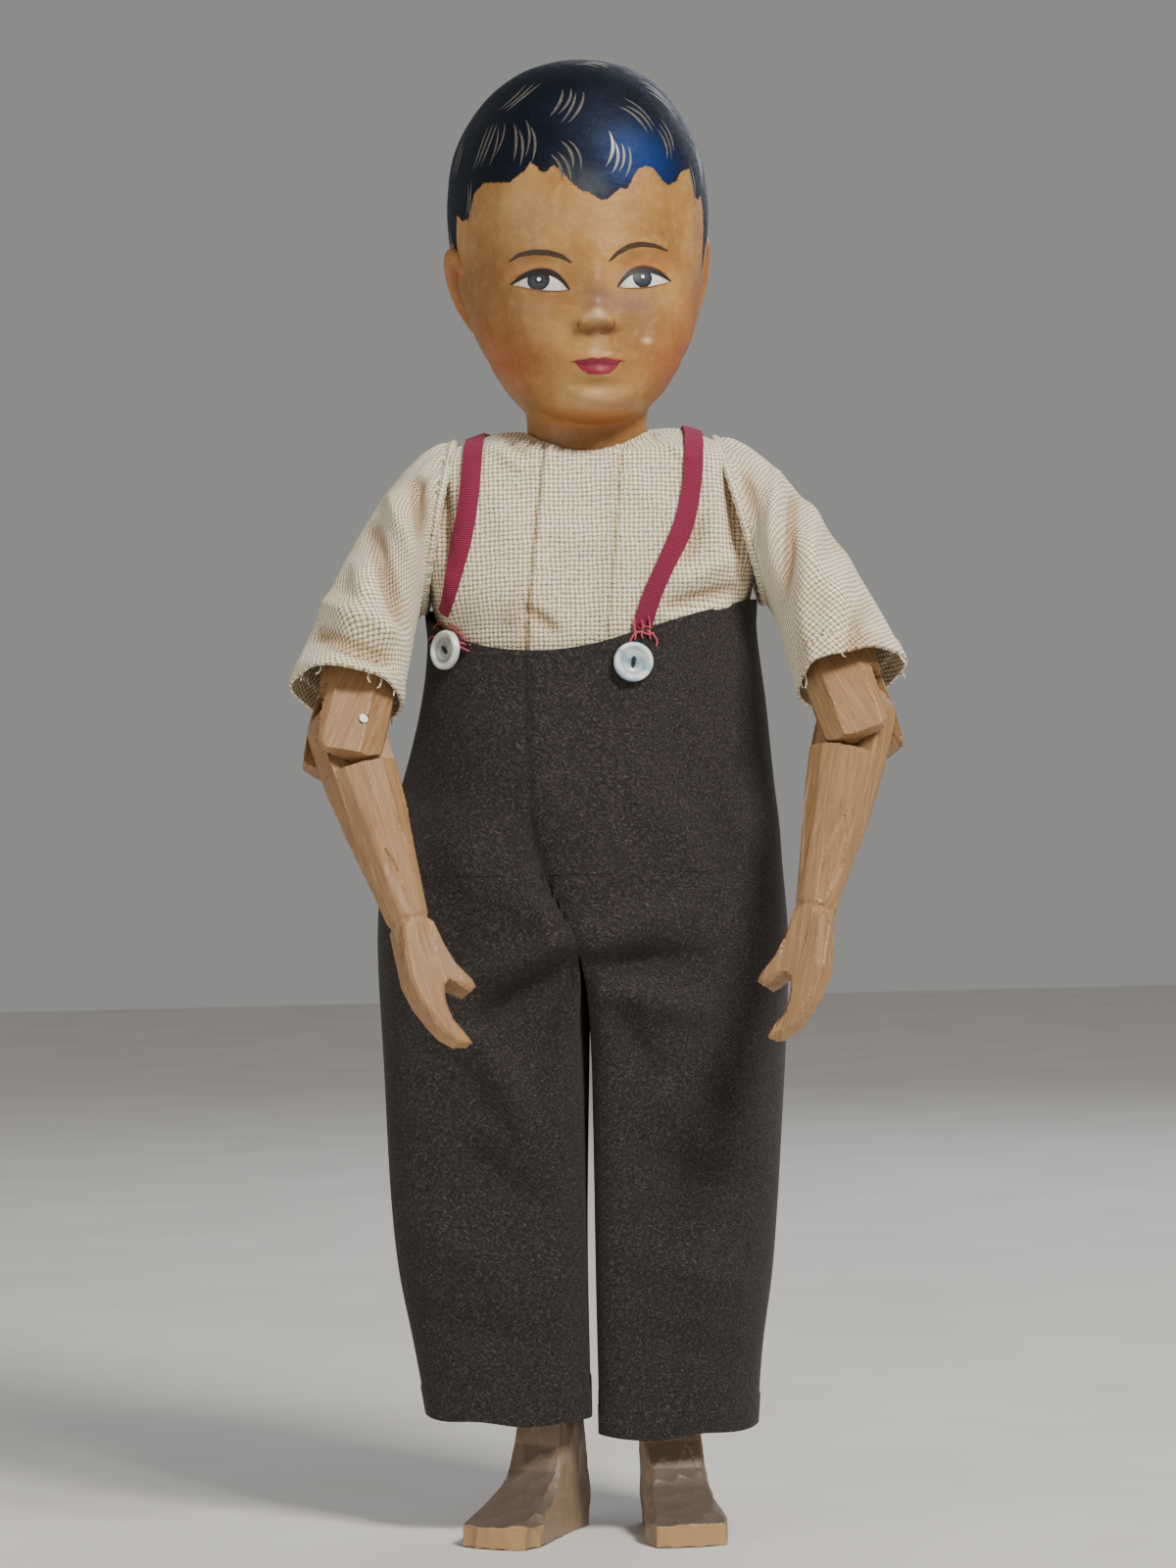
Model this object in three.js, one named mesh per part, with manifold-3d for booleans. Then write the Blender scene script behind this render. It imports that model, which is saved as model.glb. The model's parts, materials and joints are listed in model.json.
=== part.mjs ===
// Jointed wooden doll in a shirt, wool trousers and braces, standing, 400 mm tall.
// Millimetres, +Z up, the face toward -Y, the doll's own left side toward +X.
import * as THREE from 'three';
import { mergeVertices } from 'three/addons/utils/BufferGeometryUtils.js';
import Module from 'manifold-3d';

const wasm = await Module();
wasm.setup();

// Heights of the joints above the soles, and what is measured up and down from them
const KNEE_Z = 88;
const HIP_Z = 165;
const SHOULDER_Z = 273;
const WAIST_DROP = 26;
const NECK_RISE = 19;
const NECK_LENGTH = 10;
const HEAD_HEIGHT = 98;

// Clearances
const REST_GAP = 0.3;
const RUNNING_GAP = 0.15;
const SLIP_GAP = 0.4;
const HIP_TOP_GAP = 1.6;

// Head; the rises are heights above the chin
const HEAD_YAW = THREE.MathUtils.degToRad(8);
const HEAD_HALF_WIDTH = 35.8;
const FACE_DEPTH = 36.8;
const HEAD_BACK_DEPTH = 38.2;
const NECK_RADIUS = 16.3;
const EYE_X = 14;
const EYE_RISE = 37.2;
const EYE_WIDTH = 15;
const NOSE_TIP_RISE = 26.5;
const NOSE_WIDTH = 8.6;
const MOUTH_RISE = 14.4;
const MOUTH_WIDTH = 12.6;
// The carved features sit a little toward the doll's right.
const FACE_SHIFT = -2.1;
const HEAD_COLUMNS = 44;
const FACE_COLUMN_CROWDING = 0.5;
const FACE_ROWS = 22;
const EAR_RISE = 33;
const EAR_HEIGHT = 25;
const EAR_DEPTH = 16;
const EAR_THICKNESS = 9;

// Neck joint
const DOWEL_RADIUS = 8;
const DOWEL_IN_HEAD = 28;
const DOWEL_IN_TORSO = 30;
const GROOVE_DROP = 15;
const GROOVE_HEIGHT = 3.4;
const GROOVE_DEPTH = 1.8;
const NECK_PIN_RADIUS = 1.1;

// Torso block
const TORSO_HALF_WIDTH = 38;
const TORSO_HALF_DEPTH = 20;
const ARMHOLE_X = 41;
const KEEL_HALF_WIDTH = 5;
const KEEL_HALF_DEPTH = 11;

// Arms
const ARM_SPLAY = { right: THREE.MathUtils.degToRad(11.5), left: THREE.MathUtils.degToRad(15.5) };
const ARM_SWING = THREE.MathUtils.degToRad(30);
const ELBOW_BEND = THREE.MathUtils.degToRad(31);
const ELBOW_TWIST = THREE.MathUtils.degToRad(22);
const UPPER_ARM_LENGTH = 69;
const FOREARM_LENGTH = 56;
const SHOULDER_RADIUS = 13;
const SHOULDER_THICKNESS = 14;
const ELBOW_WIDTH = 21;
const ELBOW_DEPTH = 20.5;
const CHEEK_RADIUS = 10;
const TONGUE_THICKNESS = 8;
const TONGUE_RADIUS = 9.6;
const WRIST_WIDTH = 11.6;
const WRIST_DEPTH = 10.4;
const HAND_THICKNESS = 9.4;
const PEG_RADIUS = 4;
const PEG_HEAD_RADIUS = 6.5;
const PEG_HEAD_THICKNESS = 2.2;
const PEG_DEPTH = 18;
const STEEL_PIN_RADIUS = 0.9;
const PIN_HEAD_RADIUS = 1.25;
const PIN_HEAD_THICKNESS = 0.7;

// Legs
const LEG_X = 15.8;
const THIGH_THICKNESS = 18.4;
const THIGH_RADIUS = 12.6;
const KNEE_DEPTH = 20;
const KNEE_CHEEK_RADIUS = 9.4;
const ANKLE_WIDTH = 16.2;
const ANKLE_DEPTH = 15.4;
const ANKLE_Z = 24;
const FOOT_LENGTH = 48;
const FOOT_WIDTH = 22.4;
const FOOT_HEEL = 11;
const TOE_HEIGHT = 6;
const TOE_OUT = { right: THREE.MathUtils.degToRad(27), left: THREE.MathUtils.degToRad(8) };
const AXLE_RADIUS = 2.5;

// Cloth
const SHIRT_WALL = 1.3;
const SHIRT_EASE = 3;
const SHIRT_BOTTOM_Z = 208;
const SHIRT_GATHER_DEPTH = 0.9;
const COLLAR_RISE = 5.4;
const SLEEVE_WALL = 1.4;
const SLEEVE_LENGTH = 57;
const SLEEVE_CAP_RADIUS = 24;
const SLEEVE_HEM_WIDTH = 30;
const SLEEVE_HEM_DEPTH = 33;
const SLEEVE_EASE = 4.5;
const FELT_WALL = 1.9;
const SEAT_HALF_WIDTH = { right: 59.4, left: 50.4 };
const SEAT_HALF_DEPTH = 31;
const LEG_TAPER = { right: 8.8, left: 10.9 };
const LEG_DEPTH_TAPER = 12;
const LEG_GAP = 2;
const TROUSER_TWIST = 4;
const FELT_FOLD_DEPTH = 1.1;
const FELT_RIPPLE_DEPTH = 0.6;
const WAIST_DIP = 4;
// The waist edge is lowest this far to the doll's right of its middle.
const WAIST_DIP_X = 12;
const WAIST_DIP_REACH = 50;
const HEM_Z = { right: 31.5, left: 27 };
const CROTCH_DROP = 26.8;

// Braces and buttons
const TAPE_WIDTH = 5.4;
const TAPE_THICKNESS = 0.9;
const TAPE_TOP_X = { right: -30, left: 27 };
const TAPE_END_X = { right: -38.5, left: 12.5 };
const TAPE_BACK_X = 13;
const BUTTON_RADIUS = 5.5;
const BUTTON_THICKNESS = 2.2;
const BUTTON_GAP = 0.5;
const BUTTON_X = { right: -38.6, left: 10.7 };
const BUTTON_DROP = { right: 7.5, left: 12 };

// The doll's right side lies toward -X and its left side toward +X.
const SIDES = { right: -1, left: 1 };

const PIN_FACETS = 16;
const PEG_FACETS = 24;
const CLOTH_POINTS = 28;

// Longer than any bore, slot or cut that runs right through a piece
const THROUGH = 60;

const WAIST_Z = SHOULDER_Z - WAIST_DROP;
const NECK_BOTTOM_Z = SHOULDER_Z + NECK_RISE;
const CHIN_Z = NECK_BOTTOM_Z + NECK_LENGTH;
const CROWN_Z = CHIN_Z + HEAD_HEIGHT;
const DOWEL_TOP_Z = NECK_BOTTOM_Z + DOWEL_IN_HEAD;
const DOWEL_BOTTOM_Z = NECK_BOTTOM_Z - DOWEL_IN_TORSO;
const GROOVE_Z = NECK_BOTTOM_Z - GROOVE_DROP;
const TORSO_TOP_Z = NECK_BOTTOM_Z - REST_GAP;
const TORSO_BOTTOM_Z = HIP_Z + THIGH_RADIUS + HIP_TOP_GAP;
const SHIRT_TOP_Z = NECK_BOTTOM_Z + COLLAR_RISE;
const SEAT_BOTTOM_Z = TORSO_BOTTOM_Z - SLIP_GAP;

const finish = (color, roughness, more = {}) => new THREE.MeshStandardMaterial({ color, roughness, ...more });
const honeyWood = () => finish(0xb9895a, 0.6, { flatShading: true });
const paintedWood = () => finish(0xb8773f, 0.35);
const paleWood = () => finish(0xc9a677, 0.7, { flatShading: true });
const steel = () => finish(0xb8bcc0, 0.3, { metalness: 1 });
const linen = () => finish(0xcfc4a4, 0.95);
const wool = () => finish(0x38322d, 1);
const redTape = () => finish(0x8e1834, 0.8);
const pearl = () => finish(0xdfe6e2, 0.2);

// Turns a closed geometry into a solid that can be joined and cut.
function solidOf(geometry) {
  const bare = geometry.clone();
  bare.deleteAttribute('normal');
  bare.deleteAttribute('uv');
  const merged = mergeVertices(bare, 1e-4);
  return new wasm.Manifold(new wasm.Mesh({
    numProp: 3,
    vertProperties: new Float32Array(merged.attributes.position.array),
    triVerts: new Uint32Array(merged.index.array),
  }));
}

function geometryOf(solid) {
  const mesh = solid.getMesh();
  const geometry = new THREE.BufferGeometry();
  geometry.setAttribute('position', new THREE.BufferAttribute(new Float32Array(mesh.vertProperties), 3));
  geometry.setIndex(new THREE.BufferAttribute(new Uint32Array(mesh.triVerts), 1));
  geometry.computeVertexNormals();
  return geometry;
}

function addPiece(parent, name, solid, material) {
  const mesh = new THREE.Mesh(geometryOf(solid), material);
  mesh.name = name;
  parent.add(mesh);
  return mesh;
}

// Six times the volume that a face closes with the origin; its sum tells which way a body is turned.
function signedVolume(points, faces) {
  let sum = 0;
  for (const [a, b, c] of faces) {
    sum += points[a].dot(points[b].clone().cross(points[c]));
  }
  return sum;
}

function bodyFrom(points, faces) {
  const turned = signedVolume(points, faces) < 0 ? faces.map(([a, b, c]) => [a, c, b]) : faces;
  const geometry = new THREE.BufferGeometry().setFromPoints(points);
  geometry.setIndex(turned.flat());
  return solidOf(geometry);
}

function sideFaces(from, to, count) {
  const faces = [];
  for (let j = 0; j < count; j += 1) {
    const next = (j + 1) % count;
    faces.push([from + j, from + next, to + next], [from + j, to + next, to + j]);
  }
  return faces;
}

// A body through stacked rings of equal point counts, closed by a fan at each end.
function loft(rings) {
  const count = rings[0].length;
  const points = rings.flat();
  const faces = [];
  for (let i = 0; i + 1 < rings.length; i += 1) {
    faces.push(...sideFaces(i * count, (i + 1) * count, count));
  }
  const last = (rings.length - 1) * count;
  for (const [start, flip] of [[0, true], [last, false]]) {
    const centre = new THREE.Vector3();
    points.slice(start, start + count).forEach((point) => centre.addScaledVector(point, 1 / count));
    const hub = points.push(centre) - 1;
    for (let j = 0; j < count; j += 1) {
      const next = (j + 1) % count;
      faces.push(flip ? [hub, start + next, start + j] : [hub, start + j, start + next]);
    }
  }
  return bodyFrom(points, faces);
}

// A tube of cloth: the outer rings up one side and the inner rings down the other.
function shell(outerRings, innerRings) {
  const count = outerRings[0].length;
  const rings = [...outerRings, ...[...innerRings].reverse()];
  const faces = [];
  for (let i = 0; i < rings.length; i += 1) {
    const following = (i + 1) % rings.length;
    faces.push(...sideFaces(i * count, following * count, count));
  }
  return bodyFrom(rings.flat(), faces);
}

// Catmull-Rom values between rows that start with their height.
function valuesAt(rows, height) {
  const last = rows.length - 1;
  if (height <= rows[0][0]) {
    return rows[0].slice(1);
  }
  if (height >= rows[last][0]) {
    return rows[last].slice(1);
  }
  const i = rows.findIndex((row) => row[0] > height) - 1;
  const [from, to] = [rows[i], rows[i + 1]];
  const [before, after] = [rows[Math.max(i - 1, 0)], rows[Math.min(i + 2, last)]];
  const span = to[0] - from[0];
  const t = (height - from[0]) / span;
  const t2 = t * t;
  const t3 = t2 * t;
  const values = [];
  for (let k = 1; k < from.length; k += 1) {
    const startSlope = (to[k] - before[k]) / (to[0] - before[0]);
    const endSlope = (after[k] - from[k]) / (after[0] - from[0]);
    const start = (2 * t3 - 3 * t2 + 1) * from[k] + (t3 - 2 * t2 + t) * span * startSlope;
    const end = (3 * t2 - 2 * t3) * to[k] + (t3 - t2) * span * endSlope;
    values.push(start + end);
  }
  return values;
}

// A rounded outline at one height: a superellipse, squarer as the power grows.
function ovalRing({ z, x = 0, halfWidth, halfDepth, power = 2, count = CLOTH_POINTS, start = 0, fold }) {
  const ring = [];
  for (let j = 0; j < count; j += 1) {
    const angle = ((j + start) / count) * 2 * Math.PI;
    const cos = Math.cos(angle);
    const sin = Math.sin(angle);
    const reach = (Math.abs(cos) ** power + Math.abs(sin) ** power) ** (-1 / power);
    const swell = fold ? 1 + fold(angle, z) / Math.max(halfWidth, halfDepth) : 1;
    ring.push(new THREE.Vector3(x + cos * reach * halfWidth * swell, sin * reach * halfDepth * swell, z));
  }
  return ring;
}

// A whittled outline at one height: a box with its four long edges cut off flat.
function whittledRing({ z, x = 0, halfWidth, halfDepth }) {
  const w = halfWidth;
  const d = halfDepth;
  const c = 0.5 * Math.min(w, d);
  const corners = [
    [w, c - d], [w, d - c], [w - c, d], [c - w, d], [-w, d - c], [-w, c - d], [c - w, -d], [w - c, -d],
  ];
  return corners.map(([px, py]) => new THREE.Vector3(x + px, py, z));
}

// A limb cut rounder, with a dozen long flats.
function flattedRing(z, halfWidth, halfDepth) {
  return ovalRing({ z, halfWidth, halfDepth, power: 2.6, count: 12, start: 0.5 });
}

function boxSolid(width, depth, height, x, y, z) {
  return solidOf(new THREE.BoxGeometry(width, depth, height).translate(x, y, z));
}

// A rod between two places along its own X, Y or Z axis.
function rod(axis, from, to, radius, facets = PIN_FACETS) {
  const geometry = new THREE.CylinderGeometry(radius, radius, Math.abs(to - from), facets);
  const middle = (from + to) / 2;
  if (axis === 'x') geometry.rotateZ(Math.PI / 2).translate(middle, 0, 0);
  if (axis === 'y') geometry.translate(0, middle, 0);
  if (axis === 'z') geometry.rotateX(Math.PI / 2).translate(0, 0, middle);
  return solidOf(geometry);
}

// The radius of a faceted hole whose flats still clear a rod by the gap.
function boreRadius(radius, gap, facets = PIN_FACETS) {
  return (radius + gap) / Math.cos(Math.PI / facets);
}

// The space of a hole that runs right through, for a pin or a peg with its running gap.
function throughBore(axis, radius, facets = PIN_FACETS) {
  return rod(axis, -THROUGH / 2, THROUGH / 2, boreRadius(radius, RUNNING_GAP, facets), facets);
}

// Head, ears and neck, carved in one
const NECK_TOP_Z = CHIN_Z - 1.2;

// From chin to crown: share of the height, then shares of the half width, the face's depth and the back's
const headShares = [
  [0, 0.503, 0.68, 0.45],
  [0.031, 0.573, 0.815, 0.482],
  [0.092, 0.656, 0.897, 0.55],
  [0.173, 0.782, 0.94, 0.681],
  [0.265, 0.883, 0.967, 0.812],
  [0.388, 0.95, 0.984, 0.932],
  [0.51, 1, 1, 0.995],
  [0.633, 1, 0.978, 1],
  [0.765, 0.927, 0.891, 0.932],
  [0.888, 0.726, 0.679, 0.733],
  [0.959, 0.475, 0.435, 0.487],
  [0.992, 0.196, 0.174, 0.199],
];

// Head sections: height, half width, and how far the face and the back lie from the axis
const headRows = [
  [NECK_BOTTOM_Z, NECK_RADIUS, NECK_RADIUS, NECK_RADIUS],
  [NECK_TOP_Z, NECK_RADIUS, NECK_RADIUS + 0.4, NECK_RADIUS + 0.2],
  ...headShares.map(([share, width, front, back]) => [
    THREE.MathUtils.lerp(CHIN_Z, CROWN_Z, share),
    width * HEAD_HALF_WIDTH,
    front * FACE_DEPTH,
    back * HEAD_BACK_DEPTH,
  ]),
];
const HEAD_TOP_Z = headRows[headRows.length - 1][0];

// Rounded mounds and hollows of the face: place, height above the chin, spread and rise.
const faceMounds = [
  { x: 0, up: EYE_RISE + 2, spreadX: NOSE_WIDTH * 0.35, spreadZ: 6, rise: 1.6 },
  { x: 0, up: NOSE_TIP_RISE + 4, spreadX: NOSE_WIDTH * 0.37, spreadZ: 5, rise: 2.4 },
  { x: 0, up: NOSE_TIP_RISE, spreadX: NOSE_WIDTH * 0.4, spreadZ: 3.2, rise: 3 },
  { x: NOSE_WIDTH / 2, up: NOSE_TIP_RISE - 2, spreadX: 2, spreadZ: 2.2, rise: 1.4 },
  { x: 0, up: MOUTH_RISE + 1.6, spreadX: MOUTH_WIDTH * 0.48, spreadZ: 1.8, rise: 1.2 },
  { x: 0, up: MOUTH_RISE - 1.8, spreadX: MOUTH_WIDTH * 0.37, spreadZ: 1.6, rise: 1.2 },
  { x: 0, up: 5, spreadX: 7, spreadZ: 4, rise: 1.6 },
  { x: 17, up: MOUTH_RISE + 5, spreadX: 8, spreadZ: 8, rise: 1.4 },
  { x: EYE_X, up: EYE_RISE + 1, spreadX: EYE_WIDTH / 2, spreadZ: 4.6, rise: -1.9 },
  { x: EYE_X, up: EYE_RISE, spreadX: EYE_WIDTH * 0.29, spreadZ: 2.4, rise: 1.3 },
];

function faceRise(x, z) {
  let rise = 0;
  for (const mound of faceMounds) {
    for (const side of mound.x === 0 ? [1] : [-1, 1]) {
      const across = (x - FACE_SHIFT - side * mound.x) / mound.spreadX;
      const along = (z - CHIN_Z - mound.up) / mound.spreadZ;
      rise += mound.rise * Math.exp(-across * across - along * along);
    }
  }
  return rise;
}

function headRing(z, count) {
  const [halfWidth, front, back] = valuesAt(headRows, z);
  const ring = [];
  for (let j = 0; j < count; j += 1) {
    // The columns crowd together at the face, where angle is -90 degrees.
    const even = (j / count) * 2 * Math.PI;
    const angle = even - FACE_COLUMN_CROWDING * Math.cos(even);
    const x = halfWidth * Math.cos(angle);
    const depth = Math.sin(angle) < 0 ? front : back;
    const y = depth * Math.sin(angle);
    const facing = THREE.MathUtils.smoothstep(-y / FACE_DEPTH, 0.27, 0.71);
    ring.push(new THREE.Vector3(x, y - facing * faceRise(x, z), z));
  }
  return ring;
}

function headShell() {
  const heights = [NECK_BOTTOM_Z, NECK_TOP_Z, CHIN_Z, CHIN_Z + 2];
  const chinTop = CHIN_Z + 4;
  const faceTop = CHIN_Z + EYE_RISE + 9;
  for (let i = 0; i <= FACE_ROWS; i += 1) {
    heights.push(THREE.MathUtils.lerp(chinTop, faceTop, i / FACE_ROWS));
  }
  const capSteps = 7;
  for (let i = 1; i <= capSteps; i += 1) {
    heights.push(THREE.MathUtils.lerp(faceTop, HEAD_TOP_Z, Math.sin((i / capSteps) * (Math.PI / 2))));
  }
  return loft(heights.map((z) => headRing(z, HEAD_COLUMNS)));
}

// An ear lies close to the head, its back edge stands off and its outer face is hollowed.
function ear(side) {
  const shape = new THREE.SphereGeometry(1, 14, 9);
  shape.scale(EAR_THICKNESS / 2, EAR_DEPTH / 2, EAR_HEIGHT / 2);
  const hollow = new THREE.SphereGeometry(1, 10, 7);
  hollow.scale(EAR_THICKNESS / 2, EAR_DEPTH * 0.31, EAR_HEIGHT * 0.33);
  hollow.translate(side * EAR_THICKNESS * 0.55, -EAR_DEPTH * 0.06, EAR_HEIGHT * 0.04);
  const place = (geometry) => {
    geometry.rotateX(-0.14);
    geometry.rotateY(side * 0.2);
    geometry.rotateZ(-side * 0.3);
    geometry.translate(side * (HEAD_HALF_WIDTH - 2.6), 3, CHIN_Z + EAR_RISE);
    return solidOf(geometry);
  };
  return place(shape).subtract(place(hollow));
}

function head() {
  const radius = boreRadius(DOWEL_RADIUS, RUNNING_GAP, PEG_FACETS);
  const bore = rod('z', NECK_BOTTOM_Z - REST_GAP, DOWEL_TOP_Z + REST_GAP, radius, PEG_FACETS);
  return headShell().add(ear(-1)).add(ear(1)).subtract(bore);
}

// The dowel is glued in the head, and its groove takes the pin that keeps the head on.
function neckDowel() {
  const grooveBottom = GROOVE_Z - GROOVE_HEIGHT / 2;
  const grooveTop = GROOVE_Z + GROOVE_HEIGHT / 2;
  const core = rod('z', grooveBottom, grooveTop, DOWEL_RADIUS - GROOVE_DEPTH, PEG_FACETS);
  const collar = rod('z', grooveBottom, grooveTop, 2 * DOWEL_RADIUS, PEG_FACETS);
  const whole = rod('z', DOWEL_BOTTOM_Z, DOWEL_TOP_Z, DOWEL_RADIUS, PEG_FACETS);
  return whole.subtract(collar.subtract(core));
}

// Torso block and what is fixed in it
// Share of the height, then shares of the half width and the half depth
const torsoShares = [
  [0, 0.947, 0.875],
  [0.096, 1.016, 0.98],
  [0.23, 1, 1],
  [0.408, 0.968, 1],
  [0.586, 1, 1.05],
  [0.702, 1.092, 1.07],
  [0.826, 1.21, 1.03],
  [0.907, 1.105, 0.95],
  [0.96, 0.947, 0.88],
  [1, 0.632, 0.83],
];
const torsoRows = torsoShares.map(([share, width, depth]) => [
  THREE.MathUtils.lerp(TORSO_BOTTOM_Z, TORSO_TOP_Z, share),
  width * TORSO_HALF_WIDTH,
  depth * TORSO_HALF_DEPTH,
]);

const NECK_PIN_X = DOWEL_RADIUS - GROOVE_DEPTH + NECK_PIN_RADIUS + RUNNING_GAP;

// The space beyond the plane on which one arm turns, moved outward by the gap.
function beyondArmhole(sideName, gap) {
  const side = SIDES[sideName];
  const reach = 4 * THROUGH;
  const slab = new THREE.BoxGeometry(reach, reach, reach);
  slab.translate(side * (reach / 2 + gap), 0, 0);
  slab.rotateY(-side * ARM_SPLAY[sideName]);
  slab.translate(side * ARMHOLE_X, 0, SHOULDER_Z);
  return solidOf(slab);
}

function shoulderRod(sideName, from, to, radius, facets) {
  const side = SIDES[sideName];
  const length = Math.abs(to - from);
  const geometry = new THREE.CylinderGeometry(radius, radius, length, facets);
  geometry.rotateZ(Math.PI / 2);
  geometry.translate((side * (from + to)) / 2, 0, 0);
  geometry.rotateY(-side * ARM_SPLAY[sideName]);
  geometry.translate(side * ARMHOLE_X, 0, SHOULDER_Z);
  return solidOf(geometry);
}

// The torso's outer form, grown by a clearance where it cuts what lies round it.
function torsoForm(grow) {
  const steps = 9;
  const rings = [];
  for (let i = 0; i <= steps; i += 1) {
    const height = THREE.MathUtils.lerp(TORSO_BOTTOM_Z, TORSO_TOP_Z, i / steps);
    const [width, depth] = valuesAt(torsoRows, height);
    const z = i === steps ? height + grow : height;
    rings.push(ovalRing({ z, halfWidth: width + grow, halfDepth: depth + grow, power: 3, count: 20 }));
  }
  return loft(rings);
}

function torsoBlock() {
  const sunk = 4;
  const keelHeight = TORSO_BOTTOM_Z + sunk - HIP_Z;
  const keelRound = rod('x', -KEEL_HALF_WIDTH, KEEL_HALF_WIDTH, KEEL_HALF_DEPTH, PEG_FACETS);
  const keelWeb = boxSolid(2 * KEEL_HALF_WIDTH, 2 * KEEL_HALF_DEPTH, keelHeight, 0, 0, keelHeight / 2);
  const keel = keelRound.add(keelWeb).translate([0, 0, HIP_Z]);
  const dowelRadius = boreRadius(DOWEL_RADIUS, RUNNING_GAP, PEG_FACETS);
  const dowelBore = rod('z', DOWEL_BOTTOM_Z - REST_GAP, TORSO_TOP_Z + REST_GAP, dowelRadius, PEG_FACETS);
  let block = torsoForm(0).add(keel).subtract(dowelBore);
  block = block.subtract(throughBore('y', NECK_PIN_RADIUS).translate([NECK_PIN_X, 0, GROOVE_Z]));
  block = block.subtract(throughBore('x', AXLE_RADIUS).translate([0, 0, HIP_Z]));
  const pegRadius = boreRadius(PEG_RADIUS, RUNNING_GAP, PEG_FACETS);
  for (const name of Object.keys(SIDES)) {
    block = block.subtract(beyondArmhole(name, 0));
    block = block.subtract(shoulderRod(name, -PEG_DEPTH - REST_GAP, PEG_RADIUS, pegRadius, PEG_FACETS));
  }
  return block;
}

function neckPin() {
  const [, halfDepth] = valuesAt(torsoRows, GROOVE_Z);
  return rod('y', 1 - halfDepth, halfDepth - 1, NECK_PIN_RADIUS).translate([NECK_PIN_X, 0, GROOVE_Z]);
}

function shoulderPeg(sideName) {
  const headStart = REST_GAP + SHOULDER_THICKNESS - PEG_HEAD_THICKNESS;
  const shank = shoulderRod(sideName, -PEG_DEPTH, headStart + 1, PEG_RADIUS, PEG_FACETS);
  const cap = shoulderRod(sideName, headStart, headStart + PEG_HEAD_THICKNESS, PEG_HEAD_RADIUS, PEG_FACETS);
  return shank.add(cap);
}

// Arms. An arm hangs along its own -Z from the shoulder; `side` turns its outer face outward.
// Below the shoulder disc its inner face steps back, which leaves room for the sleeve's inner wall.
const ARM_STEP = SLEEVE_WALL + 3 * REST_GAP;
const ELBOW_X = REST_GAP + ARM_STEP + ELBOW_WIDTH / 2;
const DISC_BOTTOM_Z = -SHOULDER_RADIUS - 1;

// Arm sections: height, inner face, outer face and half depth
const ARM_INNER = REST_GAP + ARM_STEP;
const ARM_OUTER = ARM_INNER + ELBOW_WIDTH;
const DISC_OUTER = REST_GAP + SHOULDER_THICKNESS;
const armRows = [
  [-UPPER_ARM_LENGTH - CHEEK_RADIUS, ARM_INNER + 0.5, ARM_OUTER - 0.5, ELBOW_DEPTH / 2 - 0.4],
  [-UPPER_ARM_LENGTH, ARM_INNER, ARM_OUTER, ELBOW_DEPTH / 2],
  [-0.74 * UPPER_ARM_LENGTH, ARM_INNER, ARM_OUTER - 1, ELBOW_DEPTH / 2 + 0.6],
  [DISC_BOTTOM_Z - ARM_STEP, ARM_INNER, DISC_OUTER + 3, SHOULDER_RADIUS - 1],
  [DISC_BOTTOM_Z, REST_GAP, DISC_OUTER + 2, SHOULDER_RADIUS - 0.6],
  [0, REST_GAP, DISC_OUTER, SHOULDER_RADIUS],
  [SHOULDER_RADIUS * 0.5, REST_GAP, DISC_OUTER - 0.4, SHOULDER_RADIUS * 0.87],
  [SHOULDER_RADIUS * 0.87, REST_GAP, DISC_OUTER - 1.6, SHOULDER_RADIUS * 0.52],
  [SHOULDER_RADIUS, REST_GAP, DISC_OUTER - 3, SHOULDER_RADIUS * 0.22],
];

// The arm's whittled form, grown by a clearance where it cuts the sleeve.
function armForm(side, grow) {
  return loft(armRows.map(([z, inner, outer, halfDepth]) => whittledRing({
    z,
    x: (side * (inner + outer)) / 2,
    halfWidth: (outer - inner) / 2 + grow,
    halfDepth: halfDepth + grow,
  })));
}

// The pin runs aslant through the arm and ends at its front and back faces.
const PIN_HALF_LENGTH = ELBOW_DEPTH / 2 / Math.cos(ELBOW_TWIST) - 0.4;

function elbowPlaced(solid, side) {
  const twist = THREE.MathUtils.radToDeg(-side * ELBOW_TWIST);
  return solid.rotate([0, 0, twist]).translate([side * ELBOW_X, 0, -UPPER_ARM_LENGTH]);
}

// What is cut off below a fork's cheeks: round on one side of the pin, chamfered on the other.
function cheekEndCut(radius, squareSide) {
  const outline = new THREE.Shape();
  outline.moveTo(-THROUGH, -THROUGH);
  outline.lineTo(THROUGH, -THROUGH);
  outline.lineTo(THROUGH, 0);
  outline.lineTo(radius, 0);
  outline.absarc(0, 0, radius, 0, -Math.PI / 2, true);
  outline.lineTo(-squareSide * 0.66, -radius);
  outline.lineTo(-squareSide, -radius * 0.6);
  outline.lineTo(-THROUGH, -radius * 0.6);
  const depth = 2 * THROUGH;
  const cut = new THREE.ExtrudeGeometry(outline, { depth, bevelEnabled: false, curveSegments: 8 });
  cut.translate(0, 0, -THROUGH);
  cut.rotateX(Math.PI / 2);
  return cut;
}

// The elbow's cheeks are round toward the body, so the forearm bends only inward.
function elbowEndCut(side) {
  const solid = solidOf(cheekEndCut(CHEEK_RADIUS, ELBOW_WIDTH * 0.56));
  return side < 0 ? solid : solid.mirror([1, 0, 0]);
}

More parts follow.
